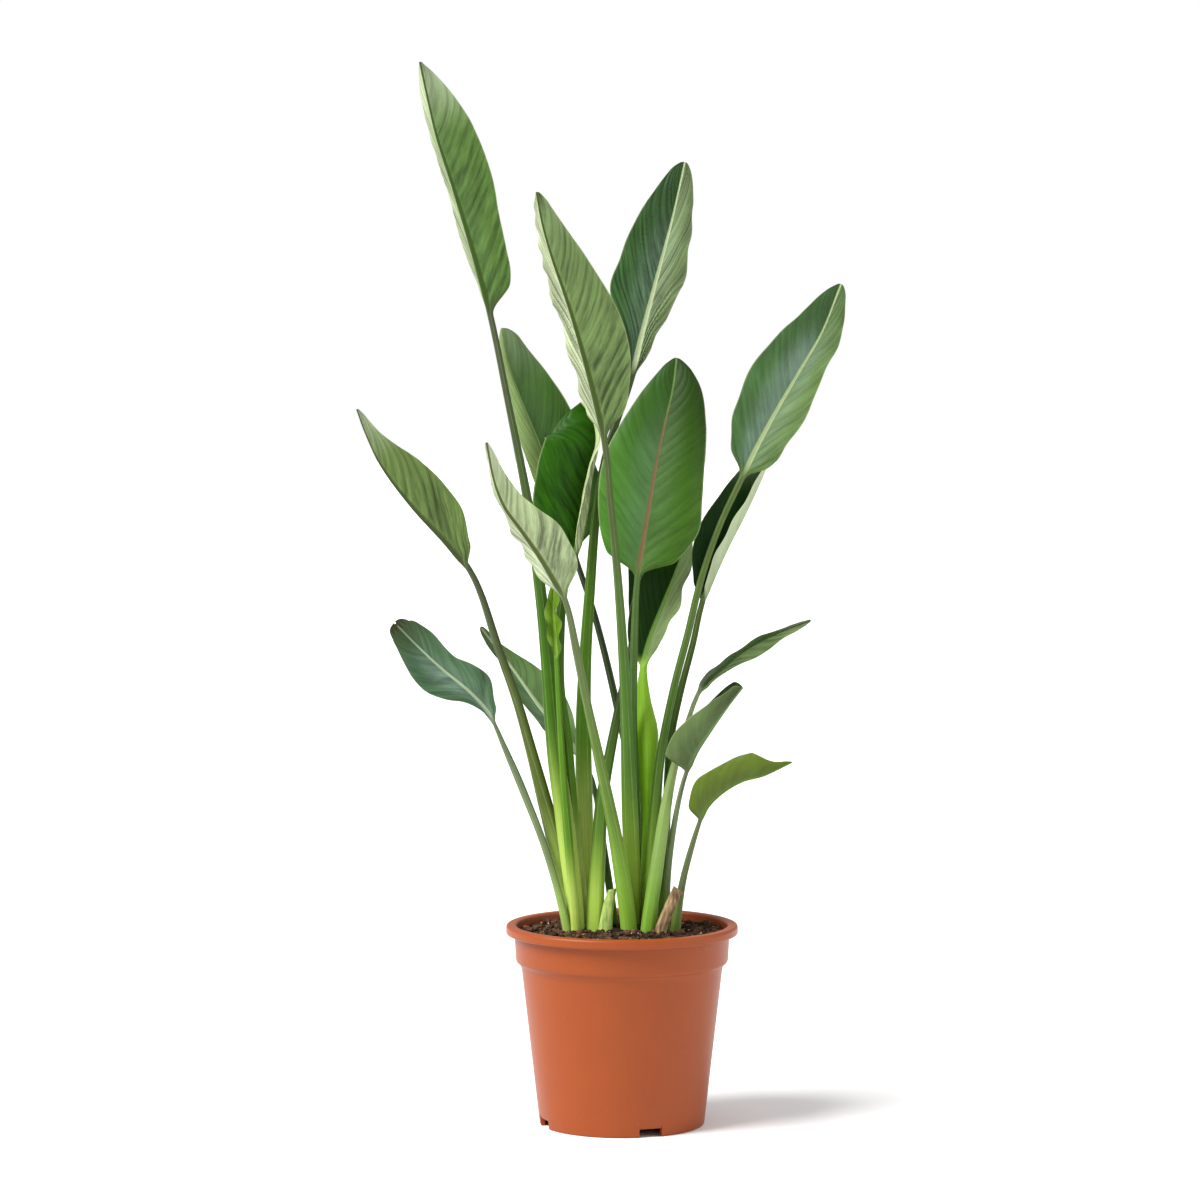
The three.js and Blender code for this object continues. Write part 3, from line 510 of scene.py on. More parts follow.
def turned_mesh(name, points, low, high, sharp):
    """The mesh of a turned shape, from its rings of points, closed by poles at the heights low and high."""
    rings, size = points.shape[:2]
    places = np.vstack([points.reshape(-1, 3), [[0, 0, low], [0, 0, high]]])
    faces = [tube_faces(rings, size, closed_ends=False), fan_faces(rings, size)]
    return mesh_of(name, places, faces, sharp=sharp)


def add_object(name, data):
    """A new object in the scene."""
    thing = bpy.data.objects.new(name, data)
    bpy.context.scene.collection.objects.link(thing)
    return thing


def place_piece(mesh, material, slot, *nodes):
    """The finished piece: an untransformed object that rides with the plant and stands for its CAD nodes."""
    mesh.materials.append(material)
    piece = add_object(mesh.name, mesh)
    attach(piece, "root")
    if nodes:
        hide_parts(*nodes)
    return piece


class Wire:
    """A shader socket that takes part in sums: each operator adds a Math node."""

    def __init__(self, finish, socket):
        self.finish = finish
        self.socket = socket

    def maths(self, operation, *terms):
        """A Math node with this operation on these terms."""
        return self.finish.node("Math", {"operation": operation}, dict(enumerate(terms)))

    def __add__(self, other):
        return self.maths("ADD", self, other)

    __radd__ = __add__

    def __sub__(self, other):
        return self.maths("SUBTRACT", self, other)

    def __rsub__(self, other):
        return self.maths("SUBTRACT", other, self)

    def __mul__(self, other):
        return self.maths("MULTIPLY", self, other)

    __rmul__ = __mul__

    def __abs__(self):
        return self.maths("ABSOLUTE", self)

    def wholeness(self):
        """1 at each whole number, and evenly down to 0 halfway between two."""
        return abs(self.maths("FRACT", self) - 0.5) * 2

    def most(self, other):
        """The larger of the two."""
        return self.maths("MAXIMUM", self, other)

    def rise(self, low, high):
        """0 below low, 1 above high, and eased between."""
        settings = {"interpolation_type": "SMOOTHSTEP"}
        return self.finish.node("MapRange", settings, {"Value": self, "From Min": low, "From Max": high})


class Finish:
    """A material under construction: a Principled shader and what feeds it."""

    def __init__(self, name, gloss):
        self.material = bpy.data.materials.new(name)
        self.material.use_nodes = True
        self.tree = self.material.node_tree
        self.tree.nodes.clear()
        output = self.tree.nodes.new("ShaderNodeOutputMaterial")
        self.shader = self.tree.nodes.new("ShaderNodeBsdfPrincipled")
        self.tree.links.new(self.shader.outputs[0], output.inputs["Surface"])
        self.shader.inputs["Specular IOR Level"].default_value = gloss

    def feed(self, socket, value):
        """Links a wire to a socket, or sets the socket to a number, colour or vector."""
        if isinstance(value, Wire):
            self.tree.links.new(value.socket, socket)
        else:
            socket.default_value = value

    def node(self, kind, settings=None, sockets=None, out=0):
        """A node of this kind, with its settings set first and then its sockets fed."""
        node = self.tree.nodes.new("ShaderNode" + kind)
        for key, value in (settings or {}).items():
            setattr(node, key, value)
        for key, value in (sockets or {}).items():
            self.feed(node.inputs[key], value)
        return Wire(self, node.outputs[out])

    def objects(self):
        """Object coordinates, which are metres in the row's frame."""
        return self.node("TexCoord", out="Object")

    def attribute(self, name):
        """The three numbers of a mesh attribute, and the whole vector."""
        vector = self.node("Attribute", {"attribute_name": name}, out="Vector")
        parts = self.node("SeparateXYZ", sockets={"Vector": vector})
        outputs = parts.socket.node.outputs
        return [Wire(self, outputs[i]) for i in range(3)] + [vector]

    def stretched(self, vector, scale):
        """The vector times another, number by number."""
        return self.node("VectorMath", {"operation": "MULTIPLY"}, {0: vector, 1: scale})

    def noise(self, vector, scale, detail, roughness=0.55):
        """Cloudy noise from 0 to 1."""
        sockets = {"Vector": vector, "Scale": scale, "Detail": detail, "Roughness": roughness}
        return self.node("TexNoise", {"noise_dimensions": "3D"}, sockets)

    def cells(self, vector, scale):
        """The distance to the nearest of many scattered points."""
        return self.node("TexVoronoi", {"feature": "F1"}, {"Vector": vector, "Scale": scale}, "Distance")

    def mix(self, factor, first, second):
        """A colour between two, by a factor. The node's colour sockets are numbers 6 and 7, and output 2."""
        return self.node("Mix", {"data_type": "RGBA"}, {0: factor, 6: first, 7: second}, out=2)

    def scaled(self, colour, factor):
        """A colour made lighter or darker."""
        colour = colour if isinstance(colour, Wire) else tuple(colour)[:3]
        return self.node("VectorMath", {"operation": "SCALE"}, {0: colour, "Scale": factor})

    def bump(self, height, distance, strength):
        """A normal that follows heights of up to this distance in metres."""
        return self.node("Bump", sockets={"Height": height, "Distance": distance, "Strength": strength})

    def finish(self, colour, roughness, normal=None):
        """Feeds the shader and gives the material."""
        self.feed(self.shader.inputs["Base Color"], colour)
        self.feed(self.shader.inputs["Roughness"], roughness)
        if normal is not None:
            self.feed(self.shader.inputs["Normal"], normal)
        return self.material


# Kinds of setting
PAINT = dict(subtype="COLOR", size=4, min=0, max=1)
LENGTH = dict(subtype="DISTANCE", unit="LENGTH")
ANGLE = dict(subtype="ANGLE", unit="ROTATION")
SHARE = dict(subtype="FACTOR", min=0, max=1)


class PotSettings(bpy.types.PropertyGroup):
    """What a user would change on the pot."""

    colour: FloatVectorProperty(
        name="Plastic", description="Colour of the moulded plastic", default=linear(0x8A3E13), **PAINT)
    roughness: FloatProperty(name="Roughness", description="How dull the plastic is", default=0.4, **SHARE)
    sides: IntProperty(
        name="Sides", description="Number of faces round the pot", min=48, max=512, default=216)
    notch_width: FloatProperty(
        name="Notch width", description="Width of each notch in the foot ring",
        min=0.005, max=0.06, default=0.024, **LENGTH)
    notch_height: FloatProperty(
        name="Notch height", description="Height of each notch in the foot ring",
        min=0.001, max=0.0088, default=0.0085, **LENGTH)


class SoilSettings(bpy.types.PropertyGroup):
    """What a user would change on the soil."""

    dark: FloatVectorProperty(
        name="Damp soil", description="Darkest colour of the soil", default=linear(0x160C06), **PAINT)
    light: FloatVectorProperty(
        name="Dry soil", description="Lightest colour of the soil", default=linear(0x72503A), **PAINT)
    lumps: FloatProperty(
        name="Lumps", description="Height of the soil's unevenness",
        min=0, max=0.006, default=0.0016, **LENGTH)
    clods: IntProperty(
        name="Clods", description="Number of loose clods on the soil", min=0, max=3000, default=1100)
    seed: IntProperty(name="Seed", description="Another seed scatters the clods anew", default=7)


class LeafSettings(bpy.types.PropertyGroup):
    """What a user would change on the leaves."""

    thickness: FloatProperty(
        name="Thickness", description="Thickness of a blade beside its rib",
        min=0.0002, max=0.002, default=0.00055, **LENGTH)
    spacing: FloatProperty(
        name="Pleat spacing", description="Distance between two pleats, measured along the rib",
        min=0.002, max=0.03, default=0.015, **LENGTH)
    row_step: FloatProperty(
        name="Row step", description="Distance between the rows of a blade's mesh",
        min=0.0008, max=0.02, default=0.0018, **LENGTH)
    columns: IntProperty(
        name="Columns", description="Columns of mesh across each half of a blade", min=4, max=60, default=17)
    shade: FloatProperty(
        name="Shade", description="How much of each leaf colour is kept, for the light to bring out again",
        subtype="FACTOR", min=0.1, max=1.5, default=0.62)
    roughness: FloatProperty(name="Roughness", description="How dull the blades are", default=0.42, **SHARE)


class StageSettings(bpy.types.PropertyGroup):
    """What a user would change on the studio."""

    floor: FloatVectorProperty(
        name="Floor", description="Colour of the floor", default=(0.9, 0.9, 0.9, 1), **PAINT)
    sky: FloatProperty(
        name="Fill light", description="Strength of the light from all round", min=0, max=5, default=0.58)
    sun: FloatProperty(
        name="Key light", description="Strength of the light from the left", min=0, max=20, default=5.3)
    side: FloatProperty(
        name="Side light", description="Strength of the weak light from the right",
        min=0, max=20, default=1.1)
    softness: FloatProperty(
        name="Softness", description="Angle that the key light fills",
        min=0, max=math.pi, default=math.radians(34), **ANGLE)
    azimuth: FloatProperty(
        name="Key light's side", description="Angle of the key light to the left of the camera",
        default=math.radians(62), **ANGLE)
    elevation: FloatProperty(
        name="Key light's height", description="Angle of the key light above the floor",
        default=math.radians(46), **ANGLE)
    camera: FloatVectorProperty(
        name="Camera", description="Place of the camera from the point under the pot's middle",
        subtype="XYZ", unit="LENGTH", size=3, default=(-0.0227, -4.3, 0.83))
    pitch: FloatProperty(
        name="Camera's pitch", description="Angle that the camera looks down",
        default=math.radians(3.84), **ANGLE)
    view: FloatProperty(
        name="Camera's view", description="Angle that the camera's frame takes in",
        default=math.radians(16.25), **ANGLE)


def body_radius(height):
    """The outer radius of the pot's plain body, which grows evenly with height."""
    return between(FOOT_RADIUS, BODY_TOP_RADIUS, height / BODY_TOP)


def rounded_profile(corners, steps):
    """A profile from (radius, height, rounding) corners: each corner becomes an arc-like curve that starts
    and ends its rounding's distance away, as (1-t)^2 start + 2t(1-t) corner + t^2 end. The first and the
    last corner have no rounding."""
    corners = np.array(corners, float)
    places, roundings = corners[:, :2], corners[:, 2]
    longest = 0.48
    profile = []
    t = np.linspace(0, 1, steps)[:, None]
    for k, (corner, rounding) in enumerate(zip(places, roundings)):
        if rounding == 0:
            profile.append(corner[None, :])
            continue
        to_last, to_next = places[k - 1] - corner, places[k + 1] - corner
        start = corner + to_last * min(rounding / np.linalg.norm(to_last), longest)
        end = corner + to_next * min(rounding / np.linalg.norm(to_next), longest)
        profile.append((1 - t) ** 2 * start + 2 * t * (1 - t) * corner + t**2 * end)
    return np.vstack(profile)


def pot_angles(sides, middles, notch_half):
    """Angles round the pot: even ones, with two more close beside each edge of each notch."""
    hair = 0.25 / FOOT_RADIUS
    edges = [middles + hand * (notch_half + side * hair) for hand in (-1, 1) for side in (-1, 1)]
    angles = np.sort(np.concatenate([circle(sides), *edges]) % (2 * np.pi))
    return angles[np.insert(np.diff(angles) > 1e-4, 0, True)]


def pot_points(settings):
    """A turned wall whose foot ring is lifted in the notches: below the height where a notch's pull ends, a
    height h becomes h + lift (1 - h / end), so that the foot rises and the wall above it stays."""
    floor_top = FLOOR_UNDERSIDE + FLOOR
    lip_foot = POT_HEIGHT - LIP_HEIGHT
    corners = [
        (FLOOR_MIDDLE, FLOOR_UNDERSIDE, 0),
        (FOOT_RADIUS - FOOT_RING, FLOOR_UNDERSIDE, 1),
        (FOOT_RADIUS - FOOT_RING, 0, 0.9),
        (FOOT_RADIUS, 0, 1.4),
        *[(body_radius(height), height, 0) for height in (NOTCH_BLEND, 60, 110)],
        (BODY_TOP_RADIUS, BODY_TOP, 2.5),
        (BODY_TOP_RADIUS + STEP_WIDTH, BODY_TOP + STEP_HEIGHT, 2.5),
        (COLLAR_FOOT_RADIUS, COLLAR_FOOT, 2.2),
        ((COLLAR_FOOT_RADIUS + COLLAR_TOP_RADIUS) / 2, (COLLAR_FOOT + lip_foot) / 2, 0),
        (COLLAR_TOP_RADIUS, lip_foot - 0.3, 1.4),
        (LIP_RADIUS, lip_foot + 0.2, 2.4),
        (LIP_RADIUS, POT_HEIGHT, 3.4),
        (COLLAR_TOP_RADIUS - WALL, POT_HEIGHT, 3),
        (COLLAR_FOOT_RADIUS - WALL, COLLAR_FOOT + 1.5, 3),
        (BODY_TOP_RADIUS - WALL, BODY_TOP, 3),
        (body_radius(floor_top) - WALL, floor_top, 2),
        (FLOOR_MIDDLE, floor_top, 0),
    ]
    profile = rounded_profile(corners, 6)
    middles = np.radians(FIRST_NOTCH) + circle(NOTCHES)
    ring_middle = FOOT_RADIUS - FOOT_RING / 2
    notch_half = settings.notch_width / MM / 2 / ring_middle
    angles = pot_angles(settings.sides, middles, notch_half)
    from_notch = np.abs((angles[:, None] - middles + np.pi) % (2 * np.pi) - np.pi).min(axis=1)
    lift = np.where(from_notch < notch_half, settings.notch_height / MM, 0)
    radius, height = profile[:, :1], profile[:, 1:]
    end = np.where(radius < ring_middle, FLOOR_UNDERSIDE, NOTCH_BLEND)
    height = np.where(height < end - 1e-6, height + lift * (1 - height / end), height)
    return turned(radius, angles, height)


class PLANT_OT_pot(bpy.types.Operator):
    """Build the nursery pot with its rolled lip, collar, foot notches and drain holes"""

    bl_idname = "plant.build_pot"
    bl_label = "Build pot"

    def execute(self, context):
        settings = context.scene.plant_pot
        floor_top = FLOOR_UNDERSIDE + FLOOR
        mesh = turned_mesh("pot_shell", pot_points(settings), FLOOR_UNDERSIDE, floor_top, sharp=40)
        drill(place_piece(mesh, pot_finish(settings), "pot_plastic", "pot"))
        return {"FINISHED"}


def drill(piece):
    """Cuts the drain holes through the floor: one cylinder for each, taken away by a Boolean."""
    size, spare = 24, 3
    rings, faces = [], []
    for k in range(DRAINS):
        middle = turned(DRAIN_CIRCLE, (k + 0.5) * 2 * np.pi / DRAINS, 0)
        for end in (FLOOR_UNDERSIDE - spare, FLOOR_UNDERSIDE + FLOOR + spare):
            rings.append(middle + turned(DRAIN_RADIUS, circle(size), end))
        faces.append(tube_faces(2, size) + 2 * size * k)
    places = np.vstack(rings)
    faces = outward(places, np.vstack(faces))
    cutter = add_object("drain_cutter", mesh_of("drain_cutter", places, [faces]))
    holes = piece.modifiers.new("Drain holes", "BOOLEAN")
    holes.operation = "DIFFERENCE"
    holes.solver = "EXACT"
    holes.object = cutter
    bpy.context.view_layer.update()
    evaluated = piece.evaluated_get(bpy.context.evaluated_depsgraph_get())
    drilled = bpy.data.meshes.new_from_object(evaluated)
    piece.modifiers.clear()
    piece.data = drilled
    bpy.data.objects.remove(cutter)


def pot_finish(settings):
    """Moulded plastic: a mottled terracotta colour with faint upright drag marks, dull scuffs and dust."""
    finish = Finish("moulded_plastic", gloss=0.25)
    place = finish.objects()
    upright = finish.stretched(place, (1, 1, 0.12))
    mottle = finish.noise(place, 26, 4)
    drag = finish.noise(upright, 160, 3)
    grain = finish.noise(place, 900, 2)
    scuffs = finish.noise(finish.stretched(place, (1, 1, 3)), 60, 6, 0.7).rise(0.62, 0.78)
    tone = 0.9 + mottle * 0.14 + drag * 0.08
    colour = finish.scaled(settings.colour, tone)
    colour = finish.mix(scuffs * 0.16, colour, linear(0xD79A72))
    roughness = settings.roughness + scuffs * 0.14 + (drag - 0.5) * 0.1
    height = grain * 0.5 + drag * 0.5
    return finish.finish(colour, roughness, finish.bump(height, 0.00012, 0.5))


def soil_height(x, y, settings):
    """A low mound that falls off as a bell, clods as a product of two waves, and four octaves of lattice
    noise, each folded as 1 - 2 |noise| so that it has sharp ridges."""
    rng = np.random.default_rng(settings.seed)
    mound = SOIL_MOUND * np.exp(-(x**2 + y**2) / MOUND_WIDTH**2)
    clods = np.sin(x / 7.3 + 1.3 * np.sin(y / 11)) * np.cos(y / 6.1 + 0.8 * np.sin(x / 13))
    lump = settings.lumps / MM
    rough = sum(
        share * (1 - 2 * np.abs(value_noise(x, y, size, rng)))
        for size, share in ((9, 0.55), (5, 0.45), (2.6, 0.35), (1.4, 0.2))
    )
    return SOIL_EDGE + mound + lump * (0.9 * clods + rough)


def lump_points(centres, sizes, squash, rng, sectors, rings):
    """Small uneven balls: a sphere's points, each moved in or out at random, then turned and placed."""
    count = len(centres)
    down = np.arange(1, rings + 1)[:, None] * np.pi / (rings + 1)
    ball = turned(np.sin(down), circle(sectors), np.cos(down)).reshape(-1, 3)
    ball = np.vstack([ball, [[0, 0, 1], [0, 0, -1]]])
    scatter = rng.uniform(0.68, 1.25, (count, len(ball), 1))
    stretch = rng.uniform(0.6, 1.25, (count, 1, 3)) * np.array([1, 1, squash])
    turn = rng.uniform(0, 2 * np.pi, count)
    points = ball[None] * scatter * stretch * sizes[:, None, None]
    cos, sin = np.cos(turn)[:, None], np.sin(turn)[:, None]
    x = points[..., 0] * cos - points[..., 1] * sin
    y = points[..., 0] * sin + points[..., 1] * cos
    return np.stack([x, y, points[..., 2]], -1) + centres[:, None, :]


def lump_faces(count, sectors, rings):
    """The faces of many balls, each with its own points: a tube's quads and two fans, facing outwards."""
    quads = np.roll(tube_faces(rings, sectors, closed_ends=False)[:, ::-1], 1, axis=1)
    fans = fan_faces(rings, sectors)[:, ::-1]
    shift = (np.arange(count) * (sectors * rings + 2))[:, None, None]
    return [(faces + shift).reshape(-1, faces.shape[1]) for faces in (quads, fans)]


def soil_finish(settings, name, lighter=0):
    """Crumbly compost: dark crumbs of several sizes, dry ones on top and a few pale fibres."""
    finish = Finish(name, gloss=0.2)
    place = finish.objects()
    cloud = finish.noise(place, 55, 6, 0.65)
    crumb = finish.cells(place, 420)
    speck = finish.noise(place, 1100, 2)
    fibre = finish.noise(finish.stretched(place, (1, 0.25, 1)), 700, 2).rise(0.68, 0.74)
    dryness = (cloud * 2.6 + speck * 0.5 - 1.25 + lighter).rise(0.1, 1.0)
    colour = finish.mix(dryness, tuple(settings.dark), tuple(settings.light))
    colour = finish.mix(fibre * 0.5, colour, linear(0x9A7450))
    height = crumb * 0.6 + speck * 0.5 + cloud
    return finish.finish(colour, 0.95, finish.bump(height, 0.0009, 0.8))


class PLANT_OT_soil(bpy.types.Operator):
    """Fill the pot with crumbly soil, and scatter clods, bark chips and perlite over it"""

    bl_idname = "plant.build_soil"
    bl_label = "Build soil"

    def execute(self, context):
        settings = context.scene.plant_soil
        rng = np.random.default_rng(settings.seed)
        sectors, rings = 260, 84
        around = circle(sectors)
        out = SOIL_RADIUS * (np.arange(rings, 0, -1) / rings)[:, None]
        x, y = out * np.cos(around), out * np.sin(around)
        top = np.stack([x, y, soil_height(x, y, settings)], -1)
        wall = [
            turned(radius - WALL - SOIL_GAP, around, height) for radius, height in (
                (body_radius(SOIL_FOOT), SOIL_FOOT), (BODY_TOP_RADIUS, BODY_TOP),
                (COLLAR_FOOT_RADIUS, COLLAR_FOOT + 2.5))
        ]
        mesh = turned_mesh("soil_bed", np.stack([*wall, *top]), SOIL_FOOT, top[-1, :, 2].mean(), sharp=180)
        place_piece(mesh, soil_finish(settings, "potting_soil"), "soil", "soil")
        self.scatter(settings, rng)
        return {"FINISHED"}

    def scatter(self, settings, rng):
        """Loose clods and litter, at even chances over the disc, sunk a little into the soil. Their sizes
        grow from low to high with a power of chance, so that most are small."""
        sectors, rings = 8, 4
        for name, count, low, high, power, squash, material in (
            ("soil_clods", settings.clods, 1.0, 4.2, 2.2, 0.8, soil_finish(settings, "soil_clods", 0.12)),
            ("bark_chips", 120, 0.7, 2.6, 2.0, 0.4, litter_finish("bark_chip", 0x7A5234, 0xB08A60)),
            ("perlite_grains", 26, 0.6, 1.4, 1.5, 0.9, litter_finish("perlite", 0xC9C0AE, 0xE6E0D2)),
        ):
            out = (SOIL_RADIUS - high - 1) * np.sqrt(rng.uniform(0, 1, count))
            around = rng.uniform(0, 2 * np.pi, count)
            sizes = low + (high - low) * rng.uniform(0, 1, count) ** power
            x, y = out * np.cos(around), out * np.sin(around)
            z = soil_height(x, y, settings) + 0.25 * sizes * squash
            points = lump_points(np.stack([x, y, z], -1), sizes, squash, rng, sectors, rings)
            mesh = mesh_of(name, points, lump_faces(count, sectors, rings), sharp=65)
            place_piece(mesh, material, "soil")


def litter_finish(name, dark, light):
    """Small dry bits: two colours in fine streaks."""
    finish = Finish(name, gloss=0.2)
    place = finish.objects()
    streak = finish.noise(finish.stretched(place, (1, 0.3, 1)), 800, 3)
    colour = finish.mix(streak, linear(dark), linear(light))
    return finish.finish(colour, 0.9, finish.bump(streak, 0.0003, 0.6))


def leaf_columns(half):
    """The columns round a leaf's section, from the left margin over the rib to the right one: which hand,
    how far across its half, where on the rib, and the angle on the stalk's oval. The columns stand closer
    towards the margin, as 1 - (1 - t)^1.25."""
    out = 1 - (1 - np.linspace(0, 1, half + 1)) ** 1.25
    rib = np.linspace(0, 1, 4)[1:-1]
    across = np.concatenate([out[::-1], np.zeros(len(rib) * 2 + 1), out])
    on_rib = np.concatenate([-np.ones(half + 1), -rib[::-1], [0], rib, np.ones(half + 1)])
    angle = np.radians(90 - RIB_ARC * on_rib - HALF_ARC * across * np.sign(on_rib))
    return np.sign(on_rib), across, on_rib, angle


def leaf_rows(line, settings):
    """Distances along a leaf: even steps up its stalk, and closer ones along its blade, packed towards the
    blade's two ends as t / 2 + (1 - cos(pi t)) / 4."""
    stalk_rows = max(int(line.base / STALK_ROW), 8)
    blade_rows = max(int((line.length - line.base) * MM / settings.row_step), 20)
    t = np.arange(blade_rows + 1) / blade_rows
    share = 0.5 * t + 0.25 * (1 - np.cos(np.pi * t))
    stalk = line.base * np.arange(stalk_rows) / stalk_rows
    return np.concatenate([stalk, between(line.base, line.length, share)])


def leaf_surface(leaf, settings):
    """One grown piece, as rings of points. On the stalk a ring is a grooved oval. On the blade it is two
    halves folded up from a rib that is raised below: out = across x width, lifted by waves that grow with
    across squared, ruffles with its fourth power, and pleats |sin(pi phase)| along the veins."""
    line = MiddleLine(leaf["stalk"], leaf["rib"])
    distance = leaf_rows(line, settings)[:, None]
    hand, across, on_rib, angle = (column[None, :] for column in leaf_columns(settings.columns))
    length = line.length - line.base
    share = np.clip((distance - line.base) / length, 0, 1)
    risen = (distance - line.soil) / (line.base - line.soil)
    face = math.copysign(1, leaf["fold"][0])

    def rounded(x):
        return np.sqrt(1 - (1 - np.minimum(x, 1)) ** 2)

    def by_hand(pair):
        return np.where(hand < 0, *pair)

    # Widths, the fold and the rib
    shape = rounded(share / BASE_ROUND) * rounded((1 - share) / TIP_ROUND)
    slim = np.minimum(share / RIB_SLIM, 1)
    rib_half = between(leaf["thick"][-1], RIB_TIP_WIDTH, slim) / 2
    rib_deep = between(leaf["thick"][-1] * RIB_BASE_DEPTH, RIB_TIP_DEPTH, slim)
    halves = [between(rib_half, along(leaf[key], share), shape) for key in ("left", "right")]
    width = np.maximum(by_hand(halves) - rib_half, NARROWEST)
    fold = np.abs(np.radians(between(*leaf["fold"], share)))
    out = across * width

    # Veins leave the rib and lean towards the tip, and drift a little closer together and further apart.
    # The pleats start beside the rib, differ along the blade and grow calmer towards the margin
    widest = max(*leaf["left"], *leaf["right"])
    along_rib = share * length
    start = along_rib - leaf["lean"] * widest * (0.8 * across + 0.2 * across**2)
    phase = start / (settings.spacing / MM)
    for size, reach, shift in VEIN_DRIFTS:
        phase = phase + size * np.sin(start / reach + shift * hand)
    phase = phase + FIRST_VEIN + leaf["stalk"][0][0]
    pleated = eased(across / PLEAT_START)
    pleated = pleated * (1 - PLEAT_CALMED * eased((across - PLEAT_CALM_START) / PLEAT_CALM_REACH))
    uneven = 0.7 + 0.45 * np.sin(start / 41 + 1.1 * hand)
    pleats = leaf["pleat"] * uneven * (np.abs(np.sin(np.pi * phase)) - PLEAT_MIDDLE) * pleated * shape

    # Waves, and ruffles that swell and fade; both are calm at the blade's two ends
    calm = np.sqrt(np.sin(np.pi * share))
    turns = 2 * np.pi * leaf["wave"][1] * share
    wave = calm * leaf["wave"][0] * by_hand((np.sin(turns), np.cos(turns))) * across**2
    ruffle_turns = along_rib / RUFFLE_LENGTH * 2 * np.pi + 3.4 * np.sin(along_rib / 37) + 1.7 * hand
    swell = 0.45 + 0.55 * np.sin(along_rib / 61 + 2.3 * hand) ** 2
    ruffle = by_hand(leaf["ruffle"]) * swell * np.sin(ruffle_turns) * across**4 * calm
    bulge = leaf["bulge"] * width * 4 * across * (1 - across)
    curl = by_hand(leaf["curl"]) * across**5 * np.sin(np.pi * share)
    lift = wave + ruffle + bulge + pleats - curl

    # The two faces: x is across and n outwards, of the blade and of the stalk's oval, which is grooved above
    thick = settings.thickness / MM * between(1, MARGIN_THICKNESS, across**3)
    rib_edge_x, rib_edge_n = rib_half * np.cos(fold / 2), rib_half * np.sin(fold / 2)
    ridge = np.where(across > 0, 0.3 * np.exp(-out / (0.8 * rib_half)), 0.3 + 0.7 * np.sqrt(1 - on_rib**2))
    inside = np.abs(on_rib) < 1
    stalk_half = along(leaf["thick"], risen) / 2
    opened = eased(share / BLENDED)
    tracks = []
    for side in (1, -1):
        raised = side * thick / 2 * np.where(across > 0, 1, 0.4 + 0.6 * on_rib**2) + lift
        if side < 0:
            raised = raised - rib_deep * ridge
        beside_x = hand * (rib_edge_x + out * np.cos(fold) - raised * np.sin(fold))
        beside_n = rib_edge_n + out * np.sin(fold) + raised * np.cos(fold)
        groove = 1 - (1 - GROOVE) * np.exp(-((on_rib * 1.1) ** 2)) * (side > 0) * inside
        tracks.append((
            between(stalk_half * np.cos(angle), np.where(inside, rib_edge_x * on_rib, beside_x), opened),
            between(side * stalk_half * STALK_DEPTH * np.sin(angle) * groove,
                    np.where(inside, rib_edge_n * on_rib**2 + raised, beside_n), opened),
        ))

    turn = np.radians(between(*leaf["turn"], share)) * eased(risen)
    middle = line.at(distance[:, 0])
    side_way, up_way = line.across(distance[:, 0], turn[:, 0], face)
    # A torn tip ends in points: its rows slip back along the leaf, more here and less there
    torn = leaf["torn"] * eased((share - TORN_START) / TORN_REACH)
    torn = torn * (0.5 - 0.5 * np.cos(5 * np.pi * across * hand + 1))
    back = torn[..., None] * unit(line.at(distance[:, 0], line.ahead))[:, None]
    upper_side, lower_side = (
        middle[:, None] + side_way[:, None] * x[..., None] + up_way[:, None] * n[..., None] - back
        for x, n in tracks)
    points = np.concatenate([upper_side, lower_side[:, ::-1]], axis=1)

    # What the finish reads. vein: the vein's number, the distance from the rib, and the same in halves of the
    # rib's width. grown: how far the blade is open, whether this face shows in front, and the share of the
    # stalk's length. spot: the shares along and across the blade, and the place on the stalk's oval
    def both(values):
        values = np.broadcast_to(values, share.shape[:1] + across.shape[1:])
        return np.concatenate([values, values[:, ::-1]], axis=1)

    count = across.shape[1]
    from_rib = np.where(across > 0, rib_half + out, rib_half * np.abs(on_rib)) * np.where(hand == 0, 1, hand)
    upper = np.concatenate([np.ones(count), np.zeros(count)])[None, :] * np.ones_like(share)
    seen = upper if face > 0 else 1 - upper
    attributes = {
        "vein": (both(phase), both(from_rib), both(np.abs(from_rib) / rib_half)),
        "grown": (both(opened), seen, both(risen)),
        "spot": (both(share), both(across), both(np.cos(angle))),
    }
    return points, {key: np.stack(values, -1) for key, values in attributes.items()}


